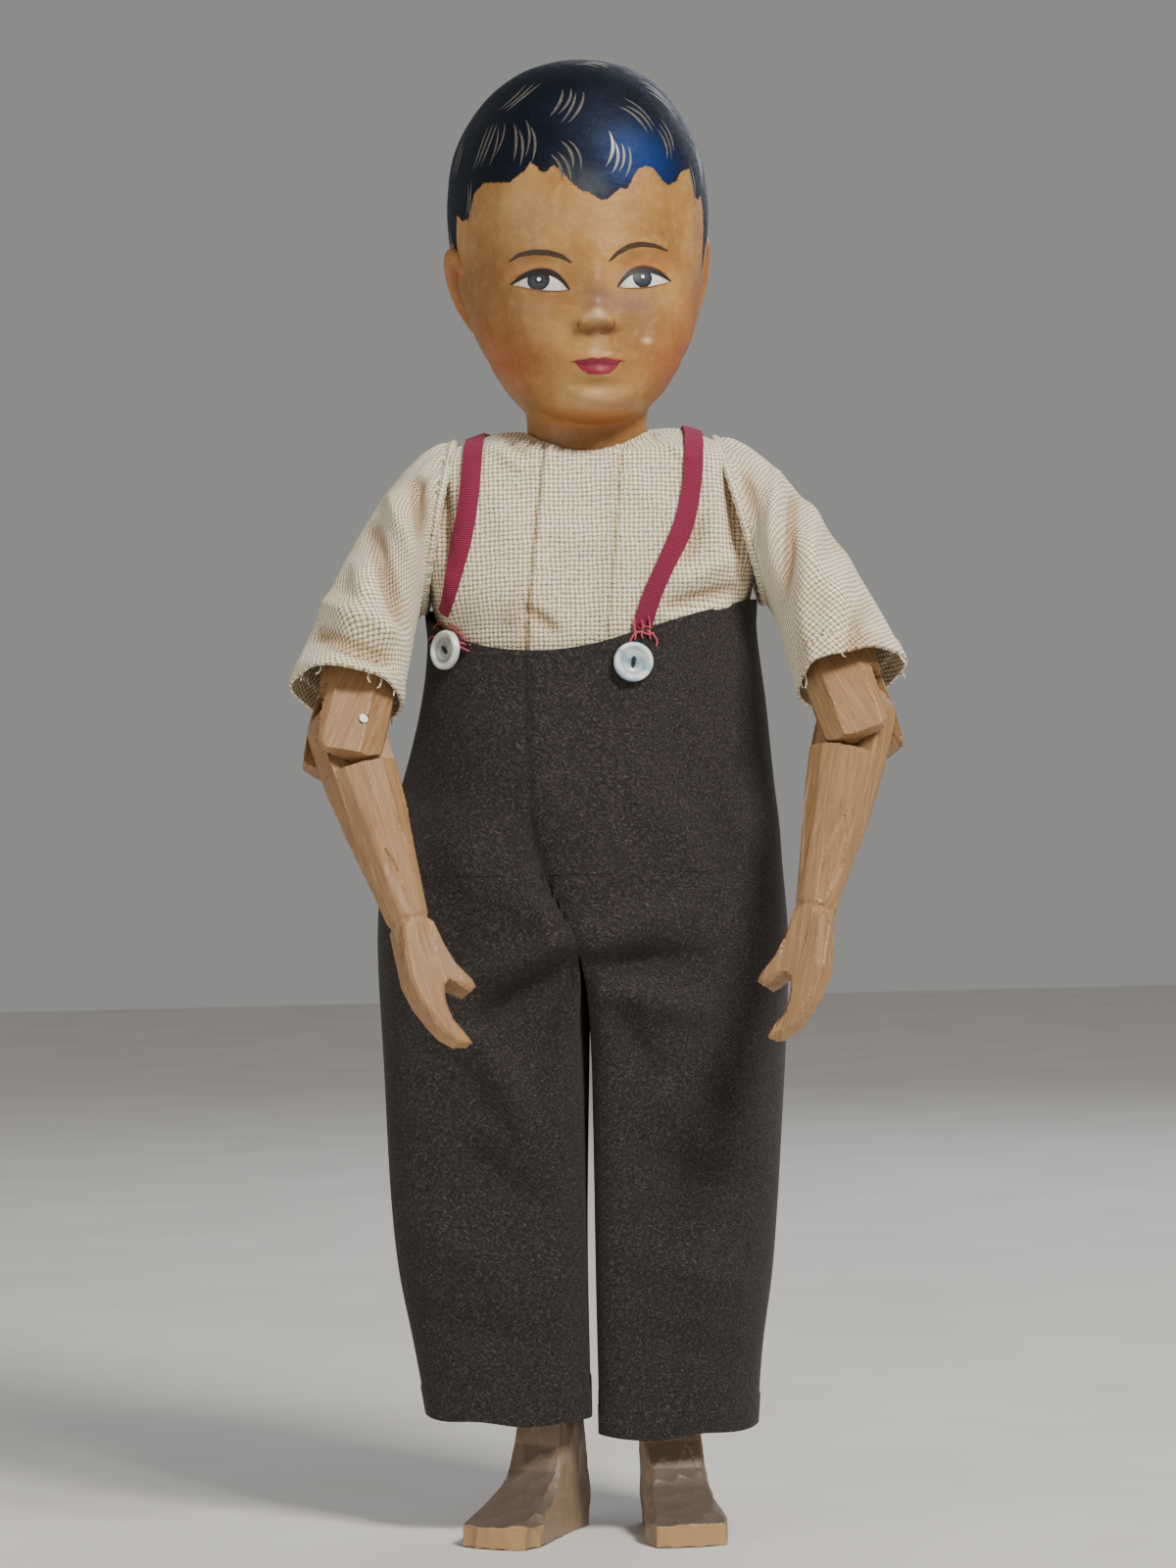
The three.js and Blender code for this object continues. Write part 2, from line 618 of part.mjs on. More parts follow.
function upperArm(sideName) {
  const side = SIDES[sideName];
  const slotWidth = TONGUE_THICKNESS + 2 * REST_GAP;
  const slotTop = TONGUE_RADIUS + 2 * REST_GAP;
  const slot = boxSolid(THROUGH, slotWidth, THROUGH + slotTop, 0, 0, (slotTop - THROUGH) / 2);
  let arm = armForm(side, 0);
  arm = arm.subtract(elbowPlaced(slot, side));
  arm = arm.subtract(elbowPlaced(elbowEndCut(side), side));
  arm = arm.subtract(elbowPlaced(throughBore('y', STEEL_PIN_RADIUS), side));
  const headSeat = rod('y', PIN_HALF_LENGTH, THROUGH, boreRadius(PIN_HEAD_RADIUS, RUNNING_GAP));
  arm = arm.subtract(elbowPlaced(sideName === 'right' ? headSeat.mirror([0, 1, 0]) : headSeat, side));
  const seatStart = DISC_OUTER - PEG_HEAD_THICKNESS - REST_GAP;
  const seatRadius = boreRadius(PEG_HEAD_RADIUS, REST_GAP, PEG_FACETS);
  const pegSeat = rod('x', side * seatStart, side * THROUGH, seatRadius, PEG_FACETS);
  return arm.subtract(throughBore('x', PEG_RADIUS, PEG_FACETS)).subtract(pegSeat);
}

// A steel pin along Y with a low domed head at its front or back end.
function steelPin(halfLength, headAtFront) {
  const shank = rod('y', -halfLength, halfLength, STEEL_PIN_RADIUS);
  const start = headAtFront ? -halfLength - PIN_HEAD_THICKNESS : halfLength;
  return shank.add(rod('y', start, start + PIN_HEAD_THICKNESS, PIN_HEAD_RADIUS));
}

const REBATE_DEPTH = CHEEK_RADIUS + 2 * SLIP_GAP;

// Outline of the hand from the wrist down: x toward the body, y toward the fingertips.
const handOutline = [
  [-WRIST_WIDTH * 0.44, -1],
  [-5.8, 3.8],
  [-7.3, 13.9],
  [-6.2, 21],
  [-4.4, 26],
  [-2, 30.4],
  [1.4, 33.4],
  [5.2, 34],
  [3.9, 30.4],
  [1.9, 26.6],
  [1.4, 22],
  [2, 18.2],
  [3.6, 17],
  [9, 20.6],
  [11.2, 19.4],
  [10.9, 17],
  [7.6, 12],
  [6, 6.6],
  [WRIST_WIDTH * 0.44, -1],
];

// A flat mitten with the thumb cut free; its palm faces back and it thins toward the fingertips.
function hand(side) {
  const bevel = 1.5;
  const outline = new THREE.Shape(handOutline.map(([x, y]) => new THREE.Vector2(-side * x, -y)));
  const blank = new THREE.ExtrudeGeometry(outline, {
    depth: HAND_THICKNESS - 2 * bevel,
    bevelThickness: bevel,
    bevelSize: bevel * 0.8,
    bevelOffset: -bevel * 0.8,
    bevelSegments: 1,
  });
  blank.translate(0, 0, -HAND_THICKNESS / 2 + bevel);
  blank.rotateX(Math.PI / 2);
  const fingertip = Math.max(...handOutline.map((point) => point[1]));
  const place = blank.attributes.position;
  for (let i = 0; i < place.count; i += 1) {
    const share = THREE.MathUtils.smoothstep(-place.getZ(i) / fingertip, 0.1, 1.2);
    place.setY(i, place.getY(i) * (1 - 0.42 * share));
  }
  return solidOf(blank).translate([0, 0, -FOREARM_LENGTH]);
}

function forearm(sideName) {
  const side = SIDES[sideName];
  const groove = 0.7;
  const rows = [
    [-FOREARM_LENGTH - 3, WRIST_WIDTH / 2 - 0.6, WRIST_DEPTH / 2 - 0.6],
    [-FOREARM_LENGTH + 0.6, WRIST_WIDTH / 2, WRIST_DEPTH / 2],
    [-FOREARM_LENGTH + 2, WRIST_WIDTH / 2 - groove, WRIST_DEPTH / 2 - groove],
    [-FOREARM_LENGTH + 3.4, WRIST_WIDTH / 2, WRIST_DEPTH / 2],
    [-FOREARM_LENGTH + 8, WRIST_WIDTH / 2 + 0.5, WRIST_DEPTH / 2 + 0.4],
    [-REBATE_DEPTH - 10, ELBOW_WIDTH / 2 - 1.2, ELBOW_DEPTH / 2 - 1.2],
    [-REBATE_DEPTH, ELBOW_WIDTH / 2 - 0.4, ELBOW_DEPTH / 2 - 0.6],
  ];
  const limb = loft(rows.map(([z, halfWidth, halfDepth]) => flattedRing(z, halfWidth, halfDepth)));
  const half = TONGUE_THICKNESS / 2;
  const disc = rod('y', -half, half, TONGUE_RADIUS, PEG_FACETS);
  const neckHeight = REBATE_DEPTH + 2;
  const neck = boxSolid(2 * TONGUE_RADIUS, 2 * half, neckHeight, 0, 0, -neckHeight / 2);
  return limb.add(disc).add(neck).add(hand(side)).subtract(throughBore('y', STEEL_PIN_RADIUS));
}

// Legs. A leg hangs along its own -Z from the hip.
const SHANK = HIP_Z - KNEE_Z;

const thighRows = [
  [-SHANK - KNEE_CHEEK_RADIUS, THIGH_THICKNESS / 2 - 0.2, KNEE_CHEEK_RADIUS],
  [-SHANK + 12, THIGH_THICKNESS / 2, KNEE_CHEEK_RADIUS],
  [-SHANK + 30, THIGH_THICKNESS / 2, THIGH_RADIUS - 1.6],
  [0, THIGH_THICKNESS / 2, THIGH_RADIUS],
  [THIGH_RADIUS * 0.5, THIGH_THICKNESS / 2, THIGH_RADIUS * 0.87],
  [THIGH_RADIUS * 0.87, THIGH_THICKNESS / 2 - 0.6, THIGH_RADIUS * 0.5],
  [THIGH_RADIUS, THIGH_THICKNESS / 2 - 2, THIGH_RADIUS * 0.2],
];

const KNEE_TONGUE_THICKNESS = 7;
const KNEE_REBATE = KNEE_CHEEK_RADIUS + 2 * SLIP_GAP;

// The knee's cheeks are round at the back and stop the shin when it is straight.
function kneeEndCut() {
  const cut = cheekEndCut(KNEE_CHEEK_RADIUS, KNEE_CHEEK_RADIUS);
  cut.rotateZ(Math.PI / 2);
  return solidOf(cut).translate([0, 0, -SHANK]);
}

function thigh() {
  const rings = thighRows.map(([z, halfWidth, halfDepth]) => whittledRing({ z, halfWidth, halfDepth }));
  const slotTop = KNEE_CHEEK_RADIUS + REST_GAP;
  const slotWidth = KNEE_TONGUE_THICKNESS + 2 * REST_GAP;
  const slot = boxSolid(slotWidth, THROUGH, THROUGH + slotTop, 0, 0, (slotTop - THROUGH) / 2 - SHANK);
  const pinBore = throughBore('x', STEEL_PIN_RADIUS).translate([0, 0, -SHANK]);
  const axleBore = throughBore('x', AXLE_RADIUS);
  return loft(rings).subtract(slot).subtract(kneeEndCut()).subtract(pinBore).subtract(axleBore);
}

// The foot and ankle as outlines stacked from the sole up: height, heel, toe, half widths at heel and toe.
// The front face is sawn off square and the instep sweeps down to it.
const FOOT_TOE = FOOT_LENGTH - FOOT_HEEL;
const ANKLE_TOP_Z = ANKLE_Z + 10;
const footRows = [
  [0, FOOT_HEEL - 1, FOOT_TOE, 7.6, FOOT_WIDTH / 2],
  [TOE_HEIGHT, FOOT_HEEL, FOOT_TOE - 0.8, 8, FOOT_WIDTH / 2],
  [THREE.MathUtils.lerp(TOE_HEIGHT, ANKLE_Z, 0.11), FOOT_HEEL, FOOT_TOE * 0.86, 8.1, FOOT_WIDTH * 0.45],
  [THREE.MathUtils.lerp(TOE_HEIGHT, ANKLE_Z, 0.24), FOOT_HEEL - 0.3, FOOT_TOE * 0.66, 8.1, FOOT_WIDTH * 0.42],
  [THREE.MathUtils.lerp(TOE_HEIGHT, ANKLE_Z, 0.42), FOOT_HEEL - 1, FOOT_TOE * 0.48, 8.1, FOOT_WIDTH * 0.385],
  [THREE.MathUtils.lerp(TOE_HEIGHT, ANKLE_Z, 0.65), FOOT_HEEL - 2, FOOT_TOE * 0.35, 8.1, FOOT_WIDTH * 0.37],
  [ANKLE_Z, ANKLE_DEPTH / 2 + 0.4, ANKLE_DEPTH / 2 + 1.6, ANKLE_WIDTH / 2, ANKLE_WIDTH / 2],
  [ANKLE_TOP_Z, ANKLE_DEPTH / 2 - 0.7, ANKLE_DEPTH / 2 - 0.7, ANKLE_WIDTH / 2 - 0.7, ANKLE_WIDTH / 2 - 0.7],
];

function foot(sideName) {
  const rings = footRows.map(([z, heel, toe, heelHalf, toeHalf]) => {
    const rightHalf = [
      [0.5 * heelHalf, -heel],
      [0.92 * heelHalf, -0.7 * heel],
      [heelHalf, 0.15 * toe],
      [toeHalf, 0.76 * toe],
      [0.86 * toeHalf, 0.96 * toe],
      [0.34 * toeHalf, toe],
    ];
    const leftHalf = rightHalf.map(([x, forward]) => [-x, forward]).reverse();
    return [...rightHalf, ...leftHalf].map(([x, forward]) => new THREE.Vector3(x, -forward, z));
  });
  return loft(rings).rotate([0, 0, THREE.MathUtils.radToDeg(SIDES[sideName] * TOE_OUT[sideName])]);
}

function shin(sideName) {
  const rows = [
    [ANKLE_TOP_Z - 4, ANKLE_WIDTH / 2 - 0.2, ANKLE_DEPTH / 2 - 0.2],
    [ANKLE_TOP_Z + 4, ANKLE_WIDTH / 2, ANKLE_DEPTH / 2],
    [KNEE_Z - KNEE_REBATE - 14, THIGH_THICKNESS / 2 - 0.4, KNEE_DEPTH / 2],
    [KNEE_Z - KNEE_REBATE, THIGH_THICKNESS / 2 - 0.4, KNEE_DEPTH / 2 - 0.4],
  ];
  const limb = loft(rows.map(([z, halfWidth, halfDepth]) => flattedRing(z, halfWidth, halfDepth)));
  const half = KNEE_TONGUE_THICKNESS / 2;
  const radius = KNEE_CHEEK_RADIUS - REST_GAP;
  const disc = rod('x', -half, half, radius, PEG_FACETS).translate([0, 0, KNEE_Z]);
  const neckHeight = KNEE_REBATE + 2;
  const neck = boxSolid(2 * half, 2 * radius, neckHeight, 0, 0, KNEE_Z - neckHeight / 2);
  const bore = throughBore('x', STEEL_PIN_RADIUS).translate([0, 0, KNEE_Z]);
  return limb.add(disc).add(neck).add(foot(sideName)).subtract(bore).translate([0, 0, -KNEE_Z]);
}

// Shirt body: open at the neck, below and at both armholes
const SHIRT_POWER = 2.5;
const SHIRT_HALF_WIDTH = TORSO_HALF_WIDTH + SHIRT_EASE;
const SHIRT_HALF_DEPTH = TORSO_HALF_DEPTH + SHIRT_EASE;

// Share of the height, then shares of the half width and the half depth
const shirtShares = [
  [0, 0.985, 0.991],
  [0.19, 0.98, 1.017],
  [0.358, 1, 1.087],
  [0.526, 1.063, 1.104],
  [0.671, 1.146, 1.078],
  [0.805, 1.122, 1.017],
  [0.895, 1.059, 0.957],
  [0.951, 0.976, 0.887],
  [0.984, 0.829, 0.765],
  [1, 0.585, 0.565],
];
const shirtRows = shirtShares.map(([share, width, depth]) => [
  THREE.MathUtils.lerp(SHIRT_BOTTOM_Z, SHIRT_TOP_Z, share),
  width * SHIRT_HALF_WIDTH,
  depth * SHIRT_HALF_DEPTH,
]);

// Upright folds gather below each armpit.
function shirtFold(angle, z) {
  const nearArmpit = Math.exp(-(((z - SHOULDER_Z + 11) / 14) ** 2)) * Math.abs(Math.cos(angle)) ** 3;
  return SHIRT_GATHER_DEPTH * nearArmpit * Math.cos(14 * angle);
}

// The shirt's outer form, grown for what lies round it or drawn in by its own wall.
function shirtForm(grow) {
  return loft(shirtRows.map(([z, halfWidth, halfDepth], i) => {
    const level = i === 0 ? z - Math.abs(grow) : z + grow;
    return ovalRing({
      z: level,
      halfWidth: halfWidth + grow,
      halfDepth: halfDepth + grow,
      power: SHIRT_POWER,
      fold: (angle) => shirtFold(angle, z),
    });
  }));
}

function shirtBody() {
  let shirt = shirtForm(0).subtract(shirtForm(-SHIRT_WALL));
  shirt = shirt.subtract(torsoForm(SLIP_GAP));
  const neckHole = NECK_RADIUS + 2 * SLIP_GAP;
  shirt = shirt.subtract(rod('z', SHOULDER_Z, SHIRT_TOP_Z + neckHole, neckHole, PEG_FACETS));
  for (const name of Object.keys(SIDES)) {
    shirt = shirt.subtract(beyondArmhole(name, 0));
  }
  return shirt;
}

// Sleeve sections along the arm: height, outer edge and half depth
const SLEEVE_TOP_WIDTH = DISC_OUTER + SLEEVE_EASE;
const SLEEVE_TOP_DEPTH = SLEEVE_CAP_RADIUS - SLEEVE_WALL;
const sleeveRows = [
  ...[[1, 1, 1], [0.77, 0.91, 0.9], [0.49, 0.6, 0.66], [0.21, 0.23, 0.16]].map(([down, flare, narrowing]) => [
    -down * SLEEVE_LENGTH,
    THREE.MathUtils.lerp(SLEEVE_TOP_WIDTH, SLEEVE_HEM_WIDTH, flare),
    THREE.MathUtils.lerp(SLEEVE_TOP_DEPTH, SLEEVE_HEM_DEPTH / 2, narrowing),
  ]),
  ...[[0.08, 0, 1], [0.5, 1.4, 0.9], [0.79, 2.8, 0.66], [0.94, 5.2, 0.4]].map(([up, narrower, depth]) => [
    up * SLEEVE_CAP_RADIUS,
    SLEEVE_TOP_WIDTH - narrower,
    SLEEVE_TOP_DEPTH * depth,
  ]),
];

// Folds run down the sleeve's outer side; angle 0 points away from the body.
function sleeveFold(angle, z) {
  const low = THREE.MathUtils.clamp(-z / SLEEVE_LENGTH, 0, 1);
  const outward = THREE.MathUtils.smoothstep(Math.cos(angle), -0.8, -0.1);
  return 1.1 * outward * (0.4 + low) * Math.cos(5 * angle + 0.04 * z);
}

function sleeveRing([z, outer, halfDepth], side, wall, level) {
  return ovalRing({
    z: level,
    x: (side * (REST_GAP + outer)) / 2,
    halfWidth: (outer - REST_GAP) / 2 - wall,
    halfDepth: halfDepth - wall,
    power: 2.4,
    count: 24,
    fold: (angle) => sleeveFold(side > 0 ? angle : Math.PI - angle, z),
  });
}

function sleeve(sideName) {
  const side = SIDES[sideName];
  const outer = loft(sleeveRows.map((row) => sleeveRing(row, side, 0, row[0])));
  const inner = loft(sleeveRows.map((row, i) => {
    const level = row[0] - (i === 0 ? 3 * SLEEVE_WALL : SLEEVE_WALL);
    return sleeveRing(row, side, SLEEVE_WALL, level);
  }));
  const reach = 4 * THROUGH;
  const inside = boxSolid(reach, reach, reach, side * (2 * REST_GAP - reach / 2), 0, 0);
  const doorHalf = 3 * SLEEVE_WALL;
  const doorway = rod('x', -doorHalf, doorHalf, SHOULDER_RADIUS + 2, PEG_FACETS);
  return outer.subtract(inner).subtract(inside).subtract(doorway).subtract(armForm(side, SLIP_GAP));
}

// Trousers: the waist lies on the shirt and the seat swells below it.
const [shirtAtWaistX, shirtAtWaistY] = valuesAt(shirtRows, WAIST_Z);
const WAIST_HALF_WIDTH = shirtAtWaistX + FELT_WALL + 2 * SLIP_GAP;
const WAIST_HALF_DEPTH = shirtAtWaistY + FELT_WALL + 2 * SLIP_GAP;

// Share of the height from the seat's lower edge to the waist, then how far the cloth has drawn in
const drawInShares = [
  [0, 0],
  [0.16, 0.12],
  [0.36, 0.42],
  [0.55, 0.67],
  [0.74, 0.87],
  [0.9, 0.98],
  [1, 1],
];

// Trouser sections: height, half widths to the doll's right and left, and half depth
const trouserRows = drawInShares.map(([share, drawIn]) => [
  THREE.MathUtils.lerp(SEAT_BOTTOM_Z, WAIST_Z, share),
  THREE.MathUtils.lerp(SEAT_HALF_WIDTH.right, WAIST_HALF_WIDTH, drawIn),
  THREE.MathUtils.lerp(SEAT_HALF_WIDTH.left, WAIST_HALF_WIDTH, drawIn),
  THREE.MathUtils.lerp(SEAT_HALF_DEPTH, WAIST_HALF_DEPTH, drawIn),
]);

function feltFold(angle, z) {
  return FELT_FOLD_DEPTH * Math.cos(3 * angle + 0.03 * z) + FELT_RIPPLE_DEPTH * Math.cos(7 * angle - 0.05 * z);
}

// The waist edge dips at the front and rises toward both hips.
function waistRise(x, y) {
  return y < 0 ? WAIST_DIP * ((Math.abs(x + WAIST_DIP_X) / WAIST_DIP_REACH) ** 2 - 1) : 1;
}

// The seat is squarer at its lower edge, where it parts into the two legs.
function seatRing(z, wall) {
  const [right, left, halfDepth] = valuesAt(trouserRows, z);
  const up = (z - SEAT_BOTTOM_Z) / (WAIST_Z - SEAT_BOTTOM_Z);
  const ring = ovalRing({
    z,
    x: (left - right) / 2,
    halfWidth: (left + right) / 2 - wall,
    halfDepth: halfDepth - wall,
    power: THREE.MathUtils.lerp(3, 2.3, THREE.MathUtils.smoothstep(up, 0, 0.35)),
    count: 28,
    fold: (angle) => feltFold(angle, z) * THREE.MathUtils.smoothstep(1 - up, 0, 0.44),
  });
  if (z === WAIST_Z) {
    ring.forEach((point) => point.setZ(point.z + waistRise(point.x, point.y)));
  }
  return ring;
}

function trouserSeat() {
  const outer = trouserRows.map((row) => seatRing(row[0], 0));
  const inner = trouserRows.map((row) => seatRing(row[0], FELT_WALL));
  return shell(outer, inner).subtract(shirtForm(REST_GAP));
}

// Trouser legs from the hem up: share of the height, then shares of the taper at the outer side,
// of the twist toward the doll's right and of the taper from front to back
const legShares = [
  [0, 1, 1, 1],
  [0.14, 0.75, 0.9, 0.92],
  [0.27, 0.44, 0.73, 0.79],
  [0.39, 0.27, 0.65, 0.67],
  [0.54, 0.12, 0.62, 0.46],
  [0.71, -0.03, 0.6, 0.25],
  [0.87, -0.1, 0.35, 0.05],
  [1, 0, 0, 0],
];

// Leg sections: height, inner edge, outer edge and half depth
function legRows(sideName) {
  const side = SIDES[sideName];
  return legShares.map(([share, taper, twist, depthTaper]) => [
    THREE.MathUtils.lerp(HEM_Z[sideName], SEAT_BOTTOM_Z, share),
    (side * LEG_GAP) / 2 - TROUSER_TWIST * twist,
    side * (SEAT_HALF_WIDTH[sideName] - LEG_TAPER[sideName] * taper),
    SEAT_HALF_DEPTH - LEG_DEPTH_TAPER * depthTaper,
  ]);
}

function legRing(sideName, z, wall) {
  const [inner, outer, halfDepth] = valuesAt(legRows(sideName), z);
  return ovalRing({
    z,
    x: (inner + outer) / 2,
    halfWidth: Math.abs(outer - inner) / 2 - wall,
    halfDepth: halfDepth - wall,
    power: 2.6,
    count: 24,
    // No fold on the side that faces the other leg
    fold: (angle) => 0.7 * feltFold(angle, z) * (Math.cos(angle) * SIDES[sideName] > -0.5 ? 1 : 0),
  });
}

// One stretch of a trouser leg between two heights, as an open tube.
function legTube(sideName, bottom, top, steps) {
  const heights = [];
  for (let i = 0; i <= steps; i += 1) {
    heights.push(THREE.MathUtils.lerp(bottom, top, i / steps));
  }
  const outer = heights.map((z) => legRing(sideName, z, 0));
  const inner = heights.map((z) => legRing(sideName, z, FELT_WALL));
  return shell(outer, inner);
}

function trouserThigh(sideName) {
  const tube = legTube(sideName, KNEE_Z + REST_GAP, SEAT_BOTTOM_Z - 2 * REST_GAP, 5);
  // Room for the keel, which hangs between the thighs
  const width = 2 * (KEEL_HALF_WIDTH + 5 * SLIP_GAP);
  const depth = 2 * (KEEL_HALF_DEPTH + 5 * SLIP_GAP);
  return tube.subtract(boxSolid(width, depth, 2 * CROTCH_DROP, 0, 0, SEAT_BOTTOM_Z));
}

function trouserShin(sideName) {
  return legTube(sideName, HEM_Z[sideName], KNEE_Z - REST_GAP, 3);
}

// Distance from the centre line to a rounded outline, looked for along a ray in a plane across X.
function reachToShirt(x, lift, angle) {
  const inside = (reach) => {
    const y = -reach * Math.cos(angle);
    const z = lift + reach * Math.sin(angle);
    if (z > SHIRT_TOP_Z) return false;
    const [halfWidth, halfDepth] = valuesAt(shirtRows, z);
    return (Math.abs(x) / halfWidth) ** SHIRT_POWER + (Math.abs(y) / halfDepth) ** SHIRT_POWER < 1;
  };
  let low = 0;
  let high = THROUGH;
  for (let i = 0; i < 30; i += 1) {
    const middle = (low + high) / 2;
    if (inside(middle)) low = middle;
    else high = middle;
  }
  return low;
}

// A brace runs from the waist in front, over the shoulder and down the back, lying on the shirt.
// Each place on it is given by an angle round the shoulder line, from the front over the top to the back.
function braceCentres(sideName) {
  const steps = 22;
  const side = SIDES[sideName];
  const frontAngle = Math.atan2(WAIST_Z + 1.6 - SHOULDER_Z, shirtAtWaistY);
  const backAngle = Math.PI - Math.atan2(WAIST_Z + 2.6 - SHOULDER_Z, shirtAtWaistY);
  const centres = [];
  for (let i = 0; i <= steps; i += 1) {
    const angle = THREE.MathUtils.lerp(frontAngle, backAngle, i / steps);
    const height = onShirt(TAPE_TOP_X[sideName], angle).z;
    const down = THREE.MathUtils.clamp((SHIRT_TOP_Z - height) / (SHIRT_TOP_Z - WAIST_Z), 0, 1);
    const endX = i < steps / 2 ? TAPE_END_X[sideName] : TAPE_BACK_X * side;
    const x = THREE.MathUtils.lerp(TAPE_TOP_X[sideName], endX, down);
    centres.push({ x, angle, point: onShirt(x, angle) });
  }
  return centres;
}

function onShirt(x, angle) {
  const reach = reachToShirt(x, SHOULDER_Z, angle);
  return new THREE.Vector3(x, -reach * Math.cos(angle), SHOULDER_Z + reach * Math.sin(angle));
}

function brace(sideName) {
  const centres = braceCentres(sideName);
  const seat = SLIP_GAP + 0.5;
  const rings = centres.map(({ x, angle, point }, i) => {
    const before = centres[Math.max(i - 1, 0)].point;
    const after = centres[Math.min(i + 1, centres.length - 1)].point;
    const along = after.clone().sub(before).normalize();
    const beside = onShirt(x + 0.6, angle).sub(point);
    const normal = beside.cross(along).normalize();
    const outward = new THREE.Vector3(0, -Math.cos(angle), Math.sin(angle));
    normal.multiplyScalar(Math.sign(normal.dot(outward)));
    const across = along.clone().cross(normal).normalize();
    const corner = (w, h) => point.clone()
      .addScaledVector(across, (w * TAPE_WIDTH) / 2)
      .addScaledVector(normal, seat + h * TAPE_THICKNESS);
    return [corner(-1, 0), corner(1, 0), corner(1, 1), corner(-1, 1)];
  });
  return loft(rings);
}

// A pearl button with a raised rim and a fish-eye hollow
function button() {
  const profile = [
    [0, 0],
    [BUTTON_RADIUS - 0.8, 0],
    [BUTTON_RADIUS, BUTTON_THICKNESS - 1],
    [BUTTON_RADIUS - 0.3, BUTTON_THICKNESS - 0.3],
    [BUTTON_RADIUS - 1.1, BUTTON_THICKNESS],
    [BUTTON_RADIUS - 1.8, BUTTON_THICKNESS - 0.9],
    [BUTTON_RADIUS * 0.44, BUTTON_THICKNESS - 1.1],
    [BUTTON_RADIUS * 0.29, 0.5],
    [0, 0.4],
  ].map(([radius, height]) => new THREE.Vector2(radius, height));
  return solidOf(new THREE.LatheGeometry(profile, 24));
}

// The trousers' outline at a height between two rows, as their flat faces run there.
function seatOutline(z) {
  const upper = trouserRows.findIndex((row) => row[0] > z);
  const [below, above] = [trouserRows[upper - 1][0], trouserRows[upper][0]];
  const top = seatRing(above, 0);
  return seatRing(below, 0).map((point, i) => point.lerp(top[i].setZ(above), (z - below) / (above - below)));
}

// The place on the front of the trousers at one height and distance from the middle.
function seatFront(x, z) {
  const front = seatOutline(z).filter((point) => point.y < 0).sort((a, b) => a.x - b.x);
  const i = front.findIndex((point) => point.x > x);
  const along = front[i].clone().sub(front[i - 1]);
  return { along, place: front[i - 1].clone().addScaledVector(along, (x - front[i - 1].x) / along.x) };
}

function placedButton(sideName) {
  const x = BUTTON_X[sideName];
  const z = WAIST_Z - BUTTON_DROP[sideName];
  const { along, place } = seatFront(x, z);
  const above = seatFront(x, z + BUTTON_RADIUS).place;
  const below = seatFront(x, z - BUTTON_RADIUS).place;
  const normal = along.clone().cross(above.sub(below)).normalize();
  place.addScaledVector(normal, BUTTON_GAP);
  const mesh = new THREE.Mesh(geometryOf(button()), pearl());
  mesh.name = `button_${sideName}`;
  mesh.position.copy(place);
  mesh.quaternion.setFromUnitVectors(new THREE.Vector3(0, 1, 0), normal);
  return mesh;
}

function group(parent, place = {}) {
  const made = new THREE.Group();
  made.position.set(place.x ?? 0, place.y ?? 0, place.z ?? 0);
  made.rotation.set(place.turnX ?? 0, place.turnY ?? 0, place.turnZ ?? 0);
  parent.add(made);
  return made;
}

function addHead(doll) {
  const turned = group(doll, { turnZ: HEAD_YAW });
  addPiece(turned, 'head', head(), paintedWood());
  addPiece(turned, 'neck_dowel', neckDowel(), paleWood());
}

function addTorso(doll) {
  addPiece(doll, 'torso_block', torsoBlock(), paleWood());
  addPiece(doll, 'neck_pin', neckPin(), steel());
  const axleReach = LEG_X + THIGH_THICKNESS / 2 - REST_GAP;
  const hipAxle = rod('x', -axleReach, axleReach, AXLE_RADIUS).translate([0, 0, HIP_Z]);
  addPiece(doll, 'hip_axle', hipAxle, paleWood());
  addPiece(doll, 'shirt_body', shirtBody(), linen());
  addPiece(doll, 'trouser_seat', trouserSeat(), wool());
}

function addArm(doll, sideName) {
  const side = SIDES[sideName];
  addPiece(doll, `shoulder_peg_${sideName}`, shoulderPeg(sideName), paleWood());
  const armhole = group(doll, { x: side * ARMHOLE_X, z: SHOULDER_Z, turnY: -side * ARM_SPLAY[sideName] });
  const swung = group(armhole, { turnX: -ARM_SWING });
  addPiece(swung, `upper_arm_${sideName}`, upperArm(sideName), honeyWood());
  addPiece(swung, `sleeve_${sideName}`, sleeve(sideName), linen());
  const elbow = group(swung, { x: side * ELBOW_X, z: -UPPER_ARM_LENGTH, turnZ: -side * ELBOW_TWIST });
  elbow.name = `elbow_${sideName}`;
  addPiece(elbow, `elbow_pin_${sideName}`, steelPin(PIN_HALF_LENGTH, sideName === 'right'), steel());
  const bent = group(elbow, { turnY: side * ELBOW_BEND });
  addPiece(bent, `forearm_${sideName}`, forearm(sideName), honeyWood());
}

function addLeg(doll, sideName) {
  const side = SIDES[sideName];
  const hip = group(doll, { x: side * LEG_X, z: HIP_Z });
  addPiece(hip, `thigh_${sideName}`, thigh(), paleWood());
  const pinReach = THIGH_THICKNESS / 2 - REST_GAP;
  const knee = group(hip, { z: -SHANK });
  addPiece(knee, `knee_pin_${sideName}`, rod('x', -pinReach, pinReach, STEEL_PIN_RADIUS), steel());
  addPiece(knee, `shin_foot_${sideName}`, shin(sideName), honeyWood());
  addPiece(doll, `trouser_thigh_${sideName}`, trouserThigh(sideName), wool());
  addPiece(doll, `trouser_shin_${sideName}`, trouserShin(sideName), wool());
}

function buildDoll() {
  const doll = new THREE.Group();
  addHead(doll);
  addTorso(doll);
  for (const sideName of Object.keys(SIDES)) {
    addArm(doll, sideName);
    addLeg(doll, sideName);
    addPiece(doll, `brace_${sideName}`, brace(sideName), redTape());
    doll.add(placedButton(sideName));
  }
  return doll;
}

